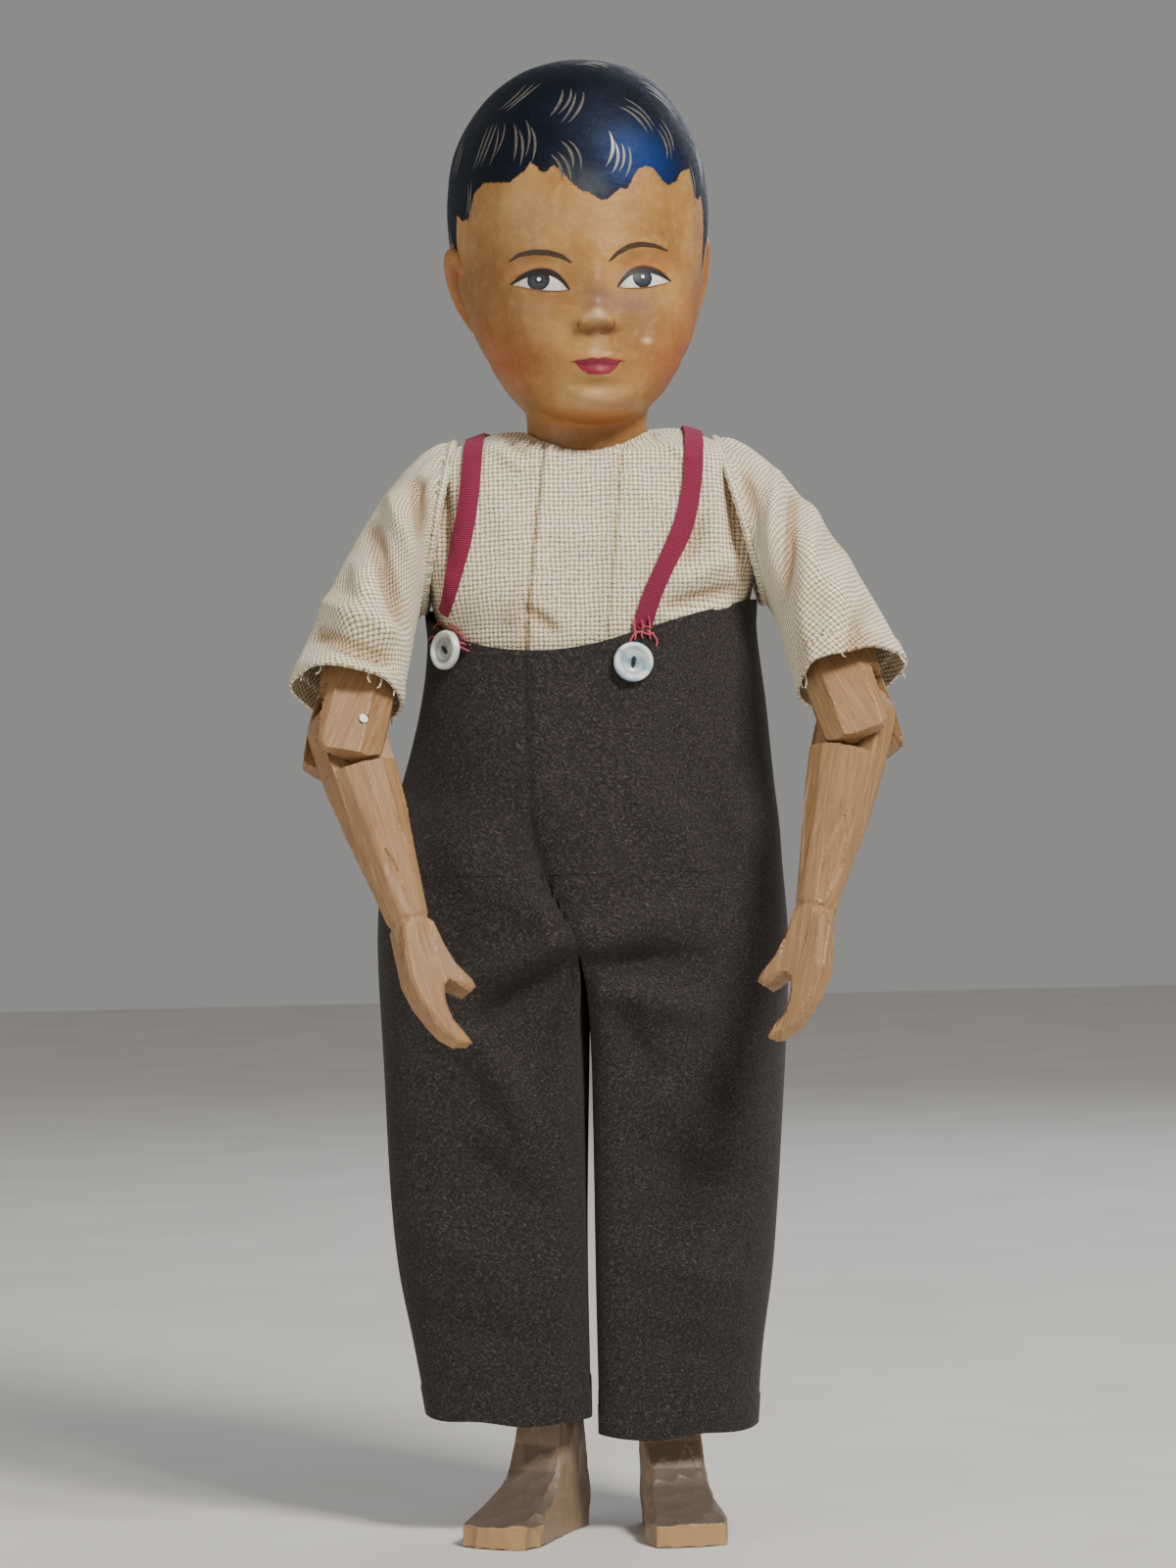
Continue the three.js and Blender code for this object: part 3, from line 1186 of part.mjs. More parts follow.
// The origin lies on the floor under the middle of the doll's box.
function stoodOnOrigin(doll) {
  doll.updateMatrixWorld(true);
  const box = new THREE.Box3().setFromObject(doll, true);
  const centre = box.getCenter(new THREE.Vector3());
  doll.position.set(-centre.x, -centre.y, -box.min.z);
  return doll;
}

export default stoodOnOrigin(buildDoll());
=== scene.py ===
# Jointed wooden doll in a basket-weave shirt, felted wool trousers and crimson braces.
# Metres, +Z up, the face toward -Y, the doll's own left side toward +X.
import itertools
import json
import math
import random

import bpy
import numpy as np
from mathutils import Euler, Matrix, Vector
from mathutils.bvhtree import BVHTree
from mathutils.kdtree import KDTree


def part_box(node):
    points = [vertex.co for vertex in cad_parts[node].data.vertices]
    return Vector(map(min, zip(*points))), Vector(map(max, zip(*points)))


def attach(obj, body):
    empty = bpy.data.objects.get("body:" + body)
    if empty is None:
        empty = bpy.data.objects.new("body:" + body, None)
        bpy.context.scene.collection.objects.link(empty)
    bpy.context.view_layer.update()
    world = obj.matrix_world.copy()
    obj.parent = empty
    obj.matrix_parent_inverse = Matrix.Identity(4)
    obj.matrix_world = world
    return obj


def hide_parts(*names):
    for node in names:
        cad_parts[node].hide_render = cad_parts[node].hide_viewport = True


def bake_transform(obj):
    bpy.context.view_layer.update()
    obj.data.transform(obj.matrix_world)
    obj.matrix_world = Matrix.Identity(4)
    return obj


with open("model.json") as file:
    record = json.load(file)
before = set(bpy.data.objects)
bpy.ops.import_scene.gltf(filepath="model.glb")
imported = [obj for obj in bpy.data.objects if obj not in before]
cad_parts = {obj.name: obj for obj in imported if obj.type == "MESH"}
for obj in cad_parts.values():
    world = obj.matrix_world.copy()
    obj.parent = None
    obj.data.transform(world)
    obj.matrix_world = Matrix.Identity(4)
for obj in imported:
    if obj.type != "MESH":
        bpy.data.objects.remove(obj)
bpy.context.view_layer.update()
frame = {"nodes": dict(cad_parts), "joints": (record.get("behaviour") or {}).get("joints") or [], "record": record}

MM = 0.001
SIDES = {"right": -1, "left": 1}

# Every soft form is worked out in millimetres round the doll's upright middle line.
MIDDLE = np.array([-1.504, 11.051, 0.0])

# Heights and sizes that the dress shares with the frame, in millimetres
SHOULDER_Z = 273.0
WAIST_Z = 247.0
SEAT_BOTTOM_Z = 178.8
SHIRT_BOTTOM_Z = 208.0
SHIRT_TOP_Z = 297.4
ARMHOLE_X = 41.0
ARM_SPLAY = {"right": math.radians(11.5), "left": math.radians(15.5)}
ARM_SWING = math.radians(30)
SLEEVE_LENGTH = 57.0
HEM_Z = {"right": 31.5, "left": 27.0}
SEAT_HALF_WIDTH = {"right": 59.4, "left": 50.4}
LEG_TAPER = {"right": 8.8, "left": 10.9}
NECK_BOTTOM_Z = 292.0
CROWN_Z = 400.0
FACE_TOP_Z = 352.0
HEAD_YAW = math.radians(8)
FACE_SHIFT = -2.1
KNEE_SPLIT_Z = 112.0
LEGS_HALF_DEPTH = 31.0

# Cloth in millimetres: the spacing of the linen's yarns, and how thick each cloth is
YARN_SPACING = 1.25
LINEN_WALL = 0.9
FELT_WALL = 1.5

# Cut cloth edges and knife cuts stay crisp where faces turn by more degrees than these.
CLOTH_CREASE = 50
KNIFE_CREASE = 32
BUTTON_CREASE = 35

# How far the face lies in front of the head's axis where it is deepest
FACE_DEPTH = 36.8

# What is stored on the head's points: millimetres inside the hair's edge, and how strong each tone is
TONES = ("hair", "thin", "blue", "blush", "shade", "mauve", "light")

# A point far in front of the face, from which paint and threads are laid on what they meet
IN_FRONT = -80
BACKWARD = Vector((0, 1, 0))
UP = Vector((0, 0, 1))


# Nodes and materials

# Each kind of node: its type, the inputs that values fill in turn, the output in use, and its settings.
# A colour mix keeps its factor and its two colours in inputs 0, 6 and 7, and its result in output 2.
TIMES = ("Math", (0, 1), 0, {"operation": "MULTIPLY"})
PLUS = ("Math", (0, 1), 0, {"operation": "ADD"})
TIMES_PLUS = ("Math", (0, 1, 2), 0, {"operation": "MULTIPLY_ADD"})
POWER = ("Math", (0, 1), 0, {"operation": "POWER"})
GREATER_OF = ("Math", (0, 1), 0, {"operation": "MAXIMUM"})
ABOVE = ("Math", (0, 1), 0, {"operation": "GREATER_THAN"})
UNSIGNED = ("Math", (0,), 0, {"operation": "ABSOLUTE"})
SINE = ("Math", (0,), 0, {"operation": "SINE"})
SHIFT = ("VectorMath", (0, 1, 2), 0, {"operation": "MULTIPLY_ADD"})
OVER = ("Mix", (0, 6, 7), 2, {"data_type": "RGBA"})
TINT = ("Mix", (0, 6, 7), 2, {"data_type": "RGBA", "blend_type": "MULTIPLY"})
RAMP = ("ValToRGB", ("Fac",), "Color", {})
NOISE = ("TexNoise", ("Vector", "Scale", "Detail", "Roughness"), "Fac", {})
NOISE_COLOUR = ("TexNoise", ("Vector", "Scale", "Detail"), "Color", {})
WAVES = ("TexWave", ("Vector", "Scale", "Distortion", "Detail", "Detail Scale"), "Fac",
         {"bands_direction": "DIAGONAL"})
OBJECT_PLACE = ("TexCoord", (), "Object", {})
CLOTH_PLACE = ("UVMap", (), "UV", {"uv_map": "UVMap"})
ACROSS = ("SeparateXYZ", ("Vector",), "X", {})
UPWARD = ("SeparateXYZ", ("Vector",), "Y", {})
STRETCHED = ("Mapping", ("Vector", "Rotation", "Scale"), "Vector", {"vector_type": "TEXTURE"})
OWN = ("Attribute", (), "Fac", {})
BUMP = ("Bump", ("Height", "Distance", "Strength"), "Normal", {})


def linear(code):
    """An sRGB hex colour as linear RGBA."""
    parts = [int(code[i:i + 2], 16) / 255 for i in (1, 3, 5)]
    return tuple(p / 12.92 if p <= 0.04045 else ((p + 0.055) / 1.055) ** 2.4 for p in parts) + (1.0,)


def add(tree, kind, *values, stops=(), **settings):
    """Adds a node of a kind, with a number, a hex colour or a link for each input, and a ramp's stops."""
    type_name, inputs, output, fixed = kind
    node = tree.nodes.new("ShaderNode" + type_name)
    for name, value in {**fixed, **settings}.items():
        setattr(node, name, value)
    for _ in stops[2:]:
        node.color_ramp.elements.new(0.5)
    for i, (position, code) in enumerate(stops):
        node.color_ramp.elements[i].position = position
        node.color_ramp.elements[i].color = linear(code)
    for place, value in zip(inputs, values):
        if isinstance(value, bpy.types.NodeSocket):
            tree.links.new(value, node.inputs[place])
        else:
            node.inputs[place].default_value = linear(value) if isinstance(value, str) else value
    return node.outputs[output]


def pattern(tree, size, detail, rough=0.5, turn=(0, 0, 0)):
    """Soft spots of a real size, in millimetres along each axis of the turned pattern."""
    place = add(tree, STRETCHED, add(tree, OBJECT_PLACE), turn, Vector(size) * MM)
    return add(tree, NOISE, place, 1.0, detail, rough)


def mask(low, high):
    """A ramp's stops for a mask that is 0 up to one level of a pattern and 1 from another."""
    return [(low, "#000000"), (high, "#FFFFFF")]


def layered(tree, colour, layers, kind=OVER):
    """Lays colours over one another, each by a mask times its strength."""
    for mask, strength, over in layers:
        colour = add(tree, kind, add(tree, TIMES, mask, strength), colour, over)
    return colour


def start_material(name, values):
    """A named material whose shader has the values that are the same all over."""
    material = bpy.data.materials.new(name)
    material.use_nodes = True
    shader = material.node_tree.nodes["Principled BSDF"]
    for socket, value in values.items():
        shader.inputs[socket].default_value = value
    return material


def finish_material(material, links):
    """Links what varies over the surface to the shader."""
    tree = material.node_tree
    for socket, output in links.items():
        tree.links.new(output, tree.nodes["Principled BSDF"].inputs[socket])
    return material


# Lime wood cut with a knife, oiled and waxed: a warm honey tan with fine straight grain, short dark flecks, paler
# fresh cuts on the edges and, on the feet, a grey cast with a little grime, most on top.
def honey_wood(name, direction, soiled):
    material = start_material(name, {"IOR": 1.45, "Coat Weight": 0.12, "Coat Roughness": 0.35})
    tree = material.node_tree
    turn = UP.rotation_difference(Vector(direction)).to_euler()
    # The grain runs along the limb, about 0.8 mm wide and 15 mm long.
    streaks = pattern(tree, (0.8, 0.8, 15), 4.0, 0.6, turn)
    # Short dark flecks are 0.35 mm wide and 3 mm long, and soft clouds of colour 12 mm across.
    flecks = add(tree, ABOVE, pattern(tree, (0.35, 0.35, 3), 2.0, 0.5, turn), 0.66)
    clouds = pattern(tree, (12, 12, 20), 3.0, 0.5, turn)
    colour = add(tree, RAMP, streaks, stops=[(0.28, "#83613F"), (0.5, "#987550"), (0.74, "#AE8D62")])
    colour = layered(tree, colour, [
        (clouds, 0.45, "#8C6641"),
        (flecks, 0.3, "#5A4028"),
        (add(tree, OWN, attribute_name="edge"), 0.16, "#CDB08A"),
    ])
    if soiled:
        # Years of handling have turned the bare wood grey.
        colour = add(tree, OVER, 0.55, colour, "#7F7468")
        grime = add(tree, OWN, attribute_name="soil")
        colour = layered(tree, colour, [(grime, add(tree, TIMES_PLUS, streaks, 0.7, 0.5), "#453F3C")])
    colour = layered(tree, colour, [(add(tree, OWN, attribute_name="fresh"), 0.75, "#B48E5C")])
    return finish_material(material, {
        "Base Color": colour,
        "Roughness": add(tree, TIMES_PLUS, streaks, 0.25, 0.4),
        "Normal": add(tree, BUMP, streaks, 0.12 * MM, 0.6),
    })


# Bare lime wood of the hidden parts: pale, straight grained, dull.
def pale_wood():
    material = start_material("bare_lime_wood", {"Roughness": 0.72, "IOR": 1.45})
    tree = material.node_tree
    streaks = pattern(tree, (1.2, 1.2, 14), 4.0, 0.6)
    colour = add(tree, RAMP, streaks, stops=[(0.3, "#B8935F"), (0.55, "#D0AE7C"), (0.75, "#DEC294")])
    relief = add(tree, BUMP, streaks, 0.1 * MM, 0.5)
    return finish_material(material, {"Base Color": colour, "Normal": relief})


# Drawn steel wire with a filed end: grey, fairly bright, with fine scratches.
def steel_wire():
    material = start_material("steel_wire", {"Metallic": 1.0, "Roughness": 0.32})
    tree = material.node_tree
    marks = pattern(tree, (0.3, 0.8, 0.3), 3.0)
    return finish_material(material, {
        "Base Color": add(tree, RAMP, marks, stops=[(0.35, "#8D9194"), (0.6, "#C9CCCE")]),
        "Normal": add(tree, BUMP, marks, 0.03 * MM, 1.0),
    })


# Coarse linen in plain weave from thick slubby yarn: cream squares with dark gaps between the yarns, the dark
# being painted shade and the yarns' pale tops painted light, a light brown stain here and there, and painted shade
# in the folds.
def linen():
    material = start_material("cream_linen", {
        "Roughness": 0.92, "IOR": 1.5, "Sheen Weight": 0.15, "Sheen Roughness": 0.5,
    })
    tree = material.node_tree
    pitch = YARN_SPACING * MM
    uv = add(tree, CLOTH_PLACE)
    # Yarns wander by about a fifth of their spacing.
    wander = add(tree, NOISE_COLOUR, uv, 140.0, 2.0)
    place = add(tree, SHIFT, wander, (pitch * 0.9, pitch * 0.9, 0), uv)
    across, up = [
        add(tree, SINE, add(tree, TIMES, add(tree, axis, place), math.pi / pitch))
        for axis in (ACROSS, UPWARD)
    ]
    over = add(tree, TIMES, across, up)
    # Where the two sines agree, the warp lies on top, and elsewhere the weft.
    warp, weft = [
        add(tree, TIMES, add(tree, POWER, add(tree, UNSIGNED, yarn), 0.5),
            add(tree, TIMES_PLUS, over, lean, 0.55))
        for yarn, lean in ((across, 0.45), (up, -0.45))
    ]
    height = add(tree, GREATER_OF, warp, weft)
    slub = add(tree, NOISE, uv, 900.0, 2.0)
    shade = add(tree, TIMES_PLUS, slub, 0.5, add(tree, PLUS, height, -0.25))
    # The colour follows the yarns' height: painted shade in the gaps between them and painted light on their tops.
    colour = add(tree, RAMP, shade, stops=[
        (0.2, "#5E4E34"), (0.42, "#B4A47E"), (0.7, "#ECE4CB"), (0.95, "#FBF7EA"),
    ])
    # Stains, 25 mm across
    stains = add(tree, RAMP, pattern(tree, (25, 25, 30), 3.0), stops=mask(0.5, 0.72))
    # Painted shade in the creases and the folds' hollows, darker where the fold attribute is stronger
    folds = add(tree, OWN, attribute_name="fold")
    colour = layered(tree, colour, [(stains, 0.45, "#C79D66"), (folds, 0.6, "#B98E5E")], TINT)
    relief = add(tree, BUMP, height, 0.32 * MM, 0.9)
    return finish_material(material, {"Base Color": colour, "Normal": relief})


# Felted wool cloth: charcoal brown, with a nap of short pale and dark fibres, and painted shade in its folds. As
# waxed thread it is as dark.
def wool_felt(name):
    material = start_material(name, {
        "Roughness": 0.96, "IOR": 1.45, "Sheen Weight": 0.15, "Sheen Roughness": 0.45,
        "Sheen Tint": linear("#948F88"),
    })
    tree = material.node_tree
    # The nap's tufts are about 0.8 mm across, and its fibres 0.28 mm wide in two slanting directions.
    tufts = pattern(tree, (0.8, 0.8, 0.8), 4.0, 0.65)
    turns = ((0.4, 0.7, 0.2), (-0.5, -0.9, 0.4))
    nap = add(tree, GREATER_OF, *[pattern(tree, (0.28, 0.28, 1.8), 2.0, 0.5, turn) for turn in turns])
    colour = add(tree, RAMP, tufts, stops=[(0.3, "#110F0F"), (0.5, "#211D1C"), (0.72, "#36302E")])
    colour = layered(tree, colour, [
        (pattern(tree, (20, 20, 30), 3.0), 0.35, "#272220"),
        (add(tree, RAMP, nap, stops=mask(0.58, 0.7)), 0.5, "#6E6662"),
        # Painted shade along the seam and the crease and in the folds' hollows
        (add(tree, OWN, attribute_name="fold"), 0.6, "#120E0C"),
    ])
    height = add(tree, PLUS, add(tree, TIMES, tufts, 0.6), add(tree, TIMES, nap, 0.5))
    relief = add(tree, BUMP, height, 0.6 * MM, 0.8)
    return finish_material(material, {"Base Color": colour, "Normal": relief})


# Narrow cotton tape, crimson, with fine cross ribs and a matt face, and painted shade in the grooves between the
# ribs.
def crimson_tape():
    material = start_material("crimson_cotton_tape", {
        "Roughness": 0.85, "IOR": 1.5, "Sheen Weight": 0.3, "Sheen Roughness": 0.4,
        "Sheen Tint": linear("#D88A98"),
    })
    tree = material.node_tree
    uv = add(tree, CLOTH_PLACE)
    # A rib every 0.6 mm up the tape, and a thread every 0.5 mm across it
    ribs, threads = [
        add(tree, UNSIGNED, add(tree, SINE, add(tree, TIMES, add(tree, axis, uv), math.pi / (spacing * MM))))
        for axis, spacing in ((UPWARD, 0.6), (ACROSS, 0.5))
    ]
    height = add(tree, TIMES, ribs, add(tree, TIMES_PLUS, threads, 0.5, 0.5))
    # The colour follows the ribs' height: darker in the grooves as painted shade.
    colour = add(tree, RAMP, height, stops=[(0.1, "#560A24"), (0.5, "#83123A"), (0.95, "#9C2450")])
    colour = layered(tree, colour, [(pattern(tree, (4, 4, 8), 3.0), 0.3, "#741438")])
    relief = add(tree, BUMP, height, 0.2 * MM, 0.8)
    return finish_material(material, {"Base Color": colour, "Normal": relief})


# Spun cotton thread, a brighter crimson than the tape.
def crimson_thread():
    material = start_material("crimson_thread", {"Roughness": 0.8, "Sheen Weight": 0.3})
    tree = material.node_tree
    twist = pattern(tree, (0.3, 0.3, 0.6), 2.0)
    colour = add(tree, RAMP, twist, stops=[(0.3, "#A61E40"), (0.7, "#D04A66")])
    return finish_material(material, {"Base Color": colour})


# Mother of pearl, turned and polished: bluish white with soft watery bands, and painted shade that darkens the
# turned hollow.
def shell_pearl(name, pale, cool):
    material = start_material(name, {
        "Roughness": 0.18, "IOR": 1.53, "Coat Weight": 0.6, "Coat Roughness": 0.08,
        "Subsurface Weight": 0.15, "Subsurface Radius": (MM, MM, MM),
    })
    tree = material.node_tree
    place = add(tree, STRETCHED, add(tree, OBJECT_PLACE), (0.3, 0, 0.5), Vector((4, 4, 4)) * MM)
    bands = add(tree, WAVES, place, 0.35, 3.0, 2.0, 1.5)
    colour = add(tree, RAMP, bands, stops=[(0.1, cool), (0.5, pale), (0.9, "#F2F5F1")])
    # The rings darken the middle and the sunk face by their distance from the middle: painted shade in the turned
    # hollow.
    rings = add(tree, RAMP, add(tree, OWN, attribute_name="reach"),
                stops=[(0.2, "#6F8791"), (0.42, "#C9D6DA"), (0.6, "#93A7AE"), (0.75, "#FFFFFF")])
    return finish_material(material, {
        "Base Color": add(tree, TINT, 0.65, colour, rings),
        "Normal": add(tree, BUMP, bands, 0.04 * MM, 1.0),
    })


# Oil paint on the carved head under an old satin varnish: tan skin with orange blush on the cheeks and chin,
# painted brown shade in the sockets and painted highlights, fine scratches, and blue-black hair with a painted
# blue sheen and a soft brushed edge.
def painted_head():
    material = start_material("oil_painted_lime_wood", {"IOR": 1.48, "Coat Roughness": 0.3})
    tree = material.node_tree
    clouds = pattern(tree, (14, 14, 14), 4.0)
    brushed = pattern(tree, (4, 4, 1.2), 4.0, turn=(0.2, 0.1, 0))
    # Worn spots are 3 mm across, and scratches 0.2 mm wide.
    spots = add(tree, RAMP, pattern(tree, (3, 3, 3), 4.0, 0.6), stops=mask(0.48, 0.68))
    lines = pattern(tree, (0.2, 6, 0.2), 2.0, turn=(0.3, 1.1, 0.2))
    scratches = add(tree, RAMP, lines, stops=mask(0.64, 0.74))
    tones = {name: add(tree, OWN, attribute_name=name) for name in TONES}
    skin = add(tree, RAMP, clouds, stops=[(0.3, "#8F6530"), (0.5, "#A5763D"), (0.7, "#BC9054")])
    skin = layered(tree, skin, [
        (brushed, 0.4, "#8E6230"), (spots, 0.3, "#C79C66"), (tones["blush"], 0.7, "#A24E18"),
        (tones["shade"], 0.7, "#5E3417"), (tones["mauve"], 0.6, "#7D5C54"), (tones["light"], 0.75, "#E2C396"),
        (scratches, 0.5, "#DDBB90"),
    ])
    # The hair's edge is a distance in millimetres, ruffled by the brush in steps of about a millimetre.
    place = add(tree, OBJECT_PLACE)
    ruffle = add(tree, TIMES_PLUS, add(tree, NOISE, place, 900.0, 3.0), 1.2, -0.6)
    edge = add(tree, PLUS, tones["hair"], ruffle)
    on_hair = add(tree, TIMES_PLUS, edge, 3.0, 0.5, use_clamp=True)
    hair = add(tree, RAMP, clouds, stops=[(0.35, "#04070D"), (0.65, "#08101B")])
    thin = add(tree, TIMES, tones["thin"], add(tree, NOISE, place, 260.0, 4.0))
    wisps = add(tree, RAMP, pattern(tree, (0.9, 0.9, 6), 3.0), stops=mask(0.55, 0.8))
    # The blue patches on the hair are a painted sheen.
    hair = layered(tree, hair, [
        (thin, 1.3, "#4A4E50"), (tones["blue"], 0.65, "#173A80"), (wisps, 0.3, "#202C3C"),
    ])
    relief = add(tree, PLUS, add(tree, TIMES, brushed, 0.8), add(tree, TIMES, on_hair, 0.8))
    relief = add(tree, TIMES_PLUS, spots, 0.4, relief)
    return finish_material(material, {
        "Base Color": add(tree, OVER, on_hair, skin, hair),
        "Roughness": add(tree, TIMES_PLUS, on_hair, 0.06, add(tree, TIMES_PLUS, brushed, 0.3, 0.34)),
        "Coat Weight": add(tree, TIMES_PLUS, on_hair, -0.1, 0.1),
        "Specular IOR Level": add(tree, TIMES_PLUS, on_hair, -0.1, 0.4),
        "Specular Tint": add(tree, OVER, on_hair, "#FFFFFF", "#B4C4EE"),
        "Normal": add(tree, BUMP, relief, 0.16 * MM, 0.8),
    })


# A stroke of oil paint with a slight brush streak, such as an iris, a lip or a brow. A ringed one changes
# by its own attribute as well.
def paint(name, stops, rough=0.35, ringed=False):
    material = start_material(name, {
        "Roughness": rough, "IOR": 1.48, "Coat Weight": 0.06, "Coat Roughness": 0.3,
    })
    tree = material.node_tree
    streak = pattern(tree, (1.2, 1.2, 0.4), 3.0, turn=(0.1, 0.4, 0))
    if ringed:
        ring = add(tree, OWN, attribute_name="ring")
        streak = add(tree, PLUS, ring, add(tree, TIMES_PLUS, streak, 0.3, -0.15))
    return finish_material(material, {"Base Color": add(tree, RAMP, streak, stops=stops)})


# Matt white floor paint, faintly mottled.
def floor_paint():
    material = start_material("matt_white_floor_paint", {"Roughness": 0.85})
    tree = material.node_tree
    mottle = add(tree, NOISE, add(tree, OBJECT_PLACE), 14.0, 2.0)
    colour = add(tree, RAMP, mottle, stops=[(0.3, "#D6D3CE"), (0.7, "#DEDBD6")])
    return finish_material(material, {"Base Color": colour})


# Forms in millimetres

def smooth(low, high, value):
    t = np.clip((value - low) / (high - low), 0, 1)
    return t * t * (3 - 2 * t)


def hump(x):
    """A round hump: 1 at 0, and almost nothing from 2 on."""
    return np.exp(-(x**2))


def values_at(rows, heights):
    """Catmull-Rom values between rows that start with their height, for an array of heights."""
    rows = np.array(rows, float)
    known = rows[:, 0]
    heights = np.clip(heights, known[0], known[-1])
    i = np.clip(np.searchsorted(known, heights, side="right") - 1, 0, len(rows) - 2)
    before, after = np.maximum(i - 1, 0), np.minimum(i + 2, len(rows) - 1)
    span = (known[i + 1] - known[i])[..., None]
    t = (heights - known[i])[..., None] / span
    start_slope = (rows[i + 1, 1:] - rows[before, 1:]) / (known[i + 1] - known[before])[..., None]
    end_slope = (rows[after, 1:] - rows[i, 1:]) / (known[after] - known[i])[..., None]
    start = (2 * t**3 - 3 * t**2 + 1) * rows[i, 1:] + (t**3 - 2 * t**2 + t) * span * start_slope
    end = (3 * t**2 - 2 * t**3) * rows[i + 1, 1:] + (t**3 - t**2) * span * end_slope
    return np.moveaxis(start + end, -1, 0)


def oval_reach(angle, half_width, half_depth, power):
    """How far a rounded outline lies from its centre; squarer as the power grows."""
    shape = (np.abs(np.cos(angle) / half_width) ** power + np.abs(np.sin(angle) / half_depth) ** power)
    return shape ** (-1 / power)


def nearest_on_line(places, start, end):
    """For places in a plane: their share of the way along a line, and their offset from it."""
    start, along = np.array(start, float), np.array(end, float) - np.array(start, float)
    share = np.clip(((places - start) @ along) / (along @ along), 0, 1)
    return share, places - start - share[:, None] * along


def deselect():
    bpy.ops.object.select_all(action="DESELECT")


def current(name):
    piece = bpy.context.view_layer.objects.active
    piece.name = name
    piece.data.name = name
    return piece


def focus(piece):
    deselect()
    piece.select_set(True)
    bpy.context.view_layer.objects.active = piece


WELD = (bpy.ops.mesh.remove_doubles, {"threshold": 0.02 * MM})
FACE_ONE_WAY = (bpy.ops.mesh.normals_make_consistent, {"inside": False})
FLIP = (bpy.ops.mesh.flip_normals, {})


def edit_all(piece, *steps):
    """Runs edit-mode steps, each an operator and its settings, on the whole of a piece."""
    focus(piece)
    bpy.ops.object.mode_set(mode="EDIT")
    bpy.ops.mesh.select_all(action="SELECT")
    for operator, settings in steps:
        operator(**settings)
    bpy.ops.object.mode_set(mode="OBJECT")


def shade_smooth(piece):
    focus(piece)
    bpy.ops.object.shade_smooth()


def crisp_shading(piece, angle):
    """Shades a piece smooth and keeps its edges crisp where they turn by more than an angle."""
    focus(piece)
    bpy.ops.object.shade_smooth_by_angle(angle=math.radians(angle))


def join(pieces, name):
    focus(pieces[0])
    for piece in pieces:
        piece.select_set(True)
    bpy.ops.object.join()
    return current(name)


def unit_ball(name, segments, rings):
    deselect()
    bpy.ops.mesh.primitive_uv_sphere_add(segments=segments, ring_count=rings, radius=1)
    return current(name)


def points_of(piece):
    co = np.zeros(len(piece.data.vertices) * 3)
    piece.data.vertices.foreach_get("co", co)
    return co.reshape(-1, 3)


def set_points(piece, points):
    piece.data.vertices.foreach_set("co", np.ascontiguousarray(points, dtype=np.float32).ravel())
    piece.data.update()


def normals_of(piece):
    normals = np.zeros(len(piece.data.vertices) * 3)
    piece.data.vertex_normals.foreach_get("vector", normals)
    return normals.reshape(-1, 3)


def set_attribute(piece, name, values):
    layer = piece.data.attributes.get(name) or piece.data.attributes.new(name, "FLOAT", "POINT")
    layer.data.foreach_set("value", np.asarray(values, np.float32))


def to_frame(points):
    return (points + MIDDLE) * MM


def to_doll(points):
    return points / MM - MIDDLE


def wrapped_grid(name, columns, rows, place):
    """A flat grid of cloth whose every point lands where place(around, up) says, in millimetres."""
    deselect()
    bpy.ops.mesh.primitive_grid_add(x_subdivisions=columns, y_subdivisions=rows, size=2)
    piece = current(name)
    flat = points_of(piece)
    around, up = (flat[:, 0] + 1) / 2, (flat[:, 1] + 1) / 2
    points = place(around, up)
    cut = points.reshape(rows + 1, columns + 1, 3)
    set_points(piece, to_frame(points))
    lay_out(piece, cut)
    return piece


def lay_out(piece, cut):
    """Gives the cloth its UV in metres: lengths along the threads from the middle of the lowest row."""
    steps = np.linalg.norm(np.diff(cut, axis=1), axis=2)
    across = np.concatenate([np.zeros((len(cut), 1)), np.cumsum(steps, axis=1)], axis=1)
    across -= across[:, across.shape[1] // 2][:, None]
    rises = np.linalg.norm(np.diff(cut, axis=0), axis=2)
    up = np.concatenate([np.zeros((1, cut.shape[1])), np.cumsum(rises, axis=0)], axis=0)
    uv = np.stack([across.ravel(), up.ravel()], axis=1) * MM
    corners = np.zeros(len(piece.data.loops), dtype=np.int32)
    piece.data.loops.foreach_get("vertex_index", corners)
    piece.data.uv_layers.active.data.foreach_set("uv", uv[corners].astype(np.float32).ravel())
    piece.data.uv_layers.active.name = "UVMap"


def face_outward(piece):
    """Turns all faces the same way, away from the upright middle of the piece."""
    edit_all(piece, FACE_ONE_WAY)
    points = points_of(piece)
    outward = points - points.mean(axis=0)
    outward[:, 2] = 0
    if (normals_of(piece) * outward).sum() < 0:
        edit_all(piece, FLIP)


def sew(piece):
    """Joins the grid's meeting edges and turns its faces outward."""
    edit_all(piece, WELD)
    face_outward(piece)
    shade_smooth(piece)


def apply_modifier(piece, name, kind, **settings):
    focus(piece)
    modifier = piece.modifiers.new(name, kind)
    for key, value in settings.items():
        setattr(modifier, key, value)
    bpy.ops.object.modifier_apply(modifier=modifier.name)


def thicken(piece, wall, offset=-1.0):
    """Gives cloth its thickness in millimetres: inward at an offset of -1, outward at 1."""
    apply_modifier(piece, "wall", "SOLIDIFY", thickness=wall * MM, offset=offset, use_even_offset=False)


def ridge_field(points, ridges):
    """Sums soft ridges and hollows along lines: (start, end, spread, rise), seen from the front."""
    total = np.zeros(len(points))
    flat = points[:, [0, 2]]
    for start, end, spread, rise in ridges:
        share, offset = nearest_on_line(flat, start, end)
        fade = np.sin(np.pi * (share * 0.8 + 0.1)) ** 0.5
        total += rise * fade * hump(np.linalg.norm(offset, axis=1) / spread)
    return total


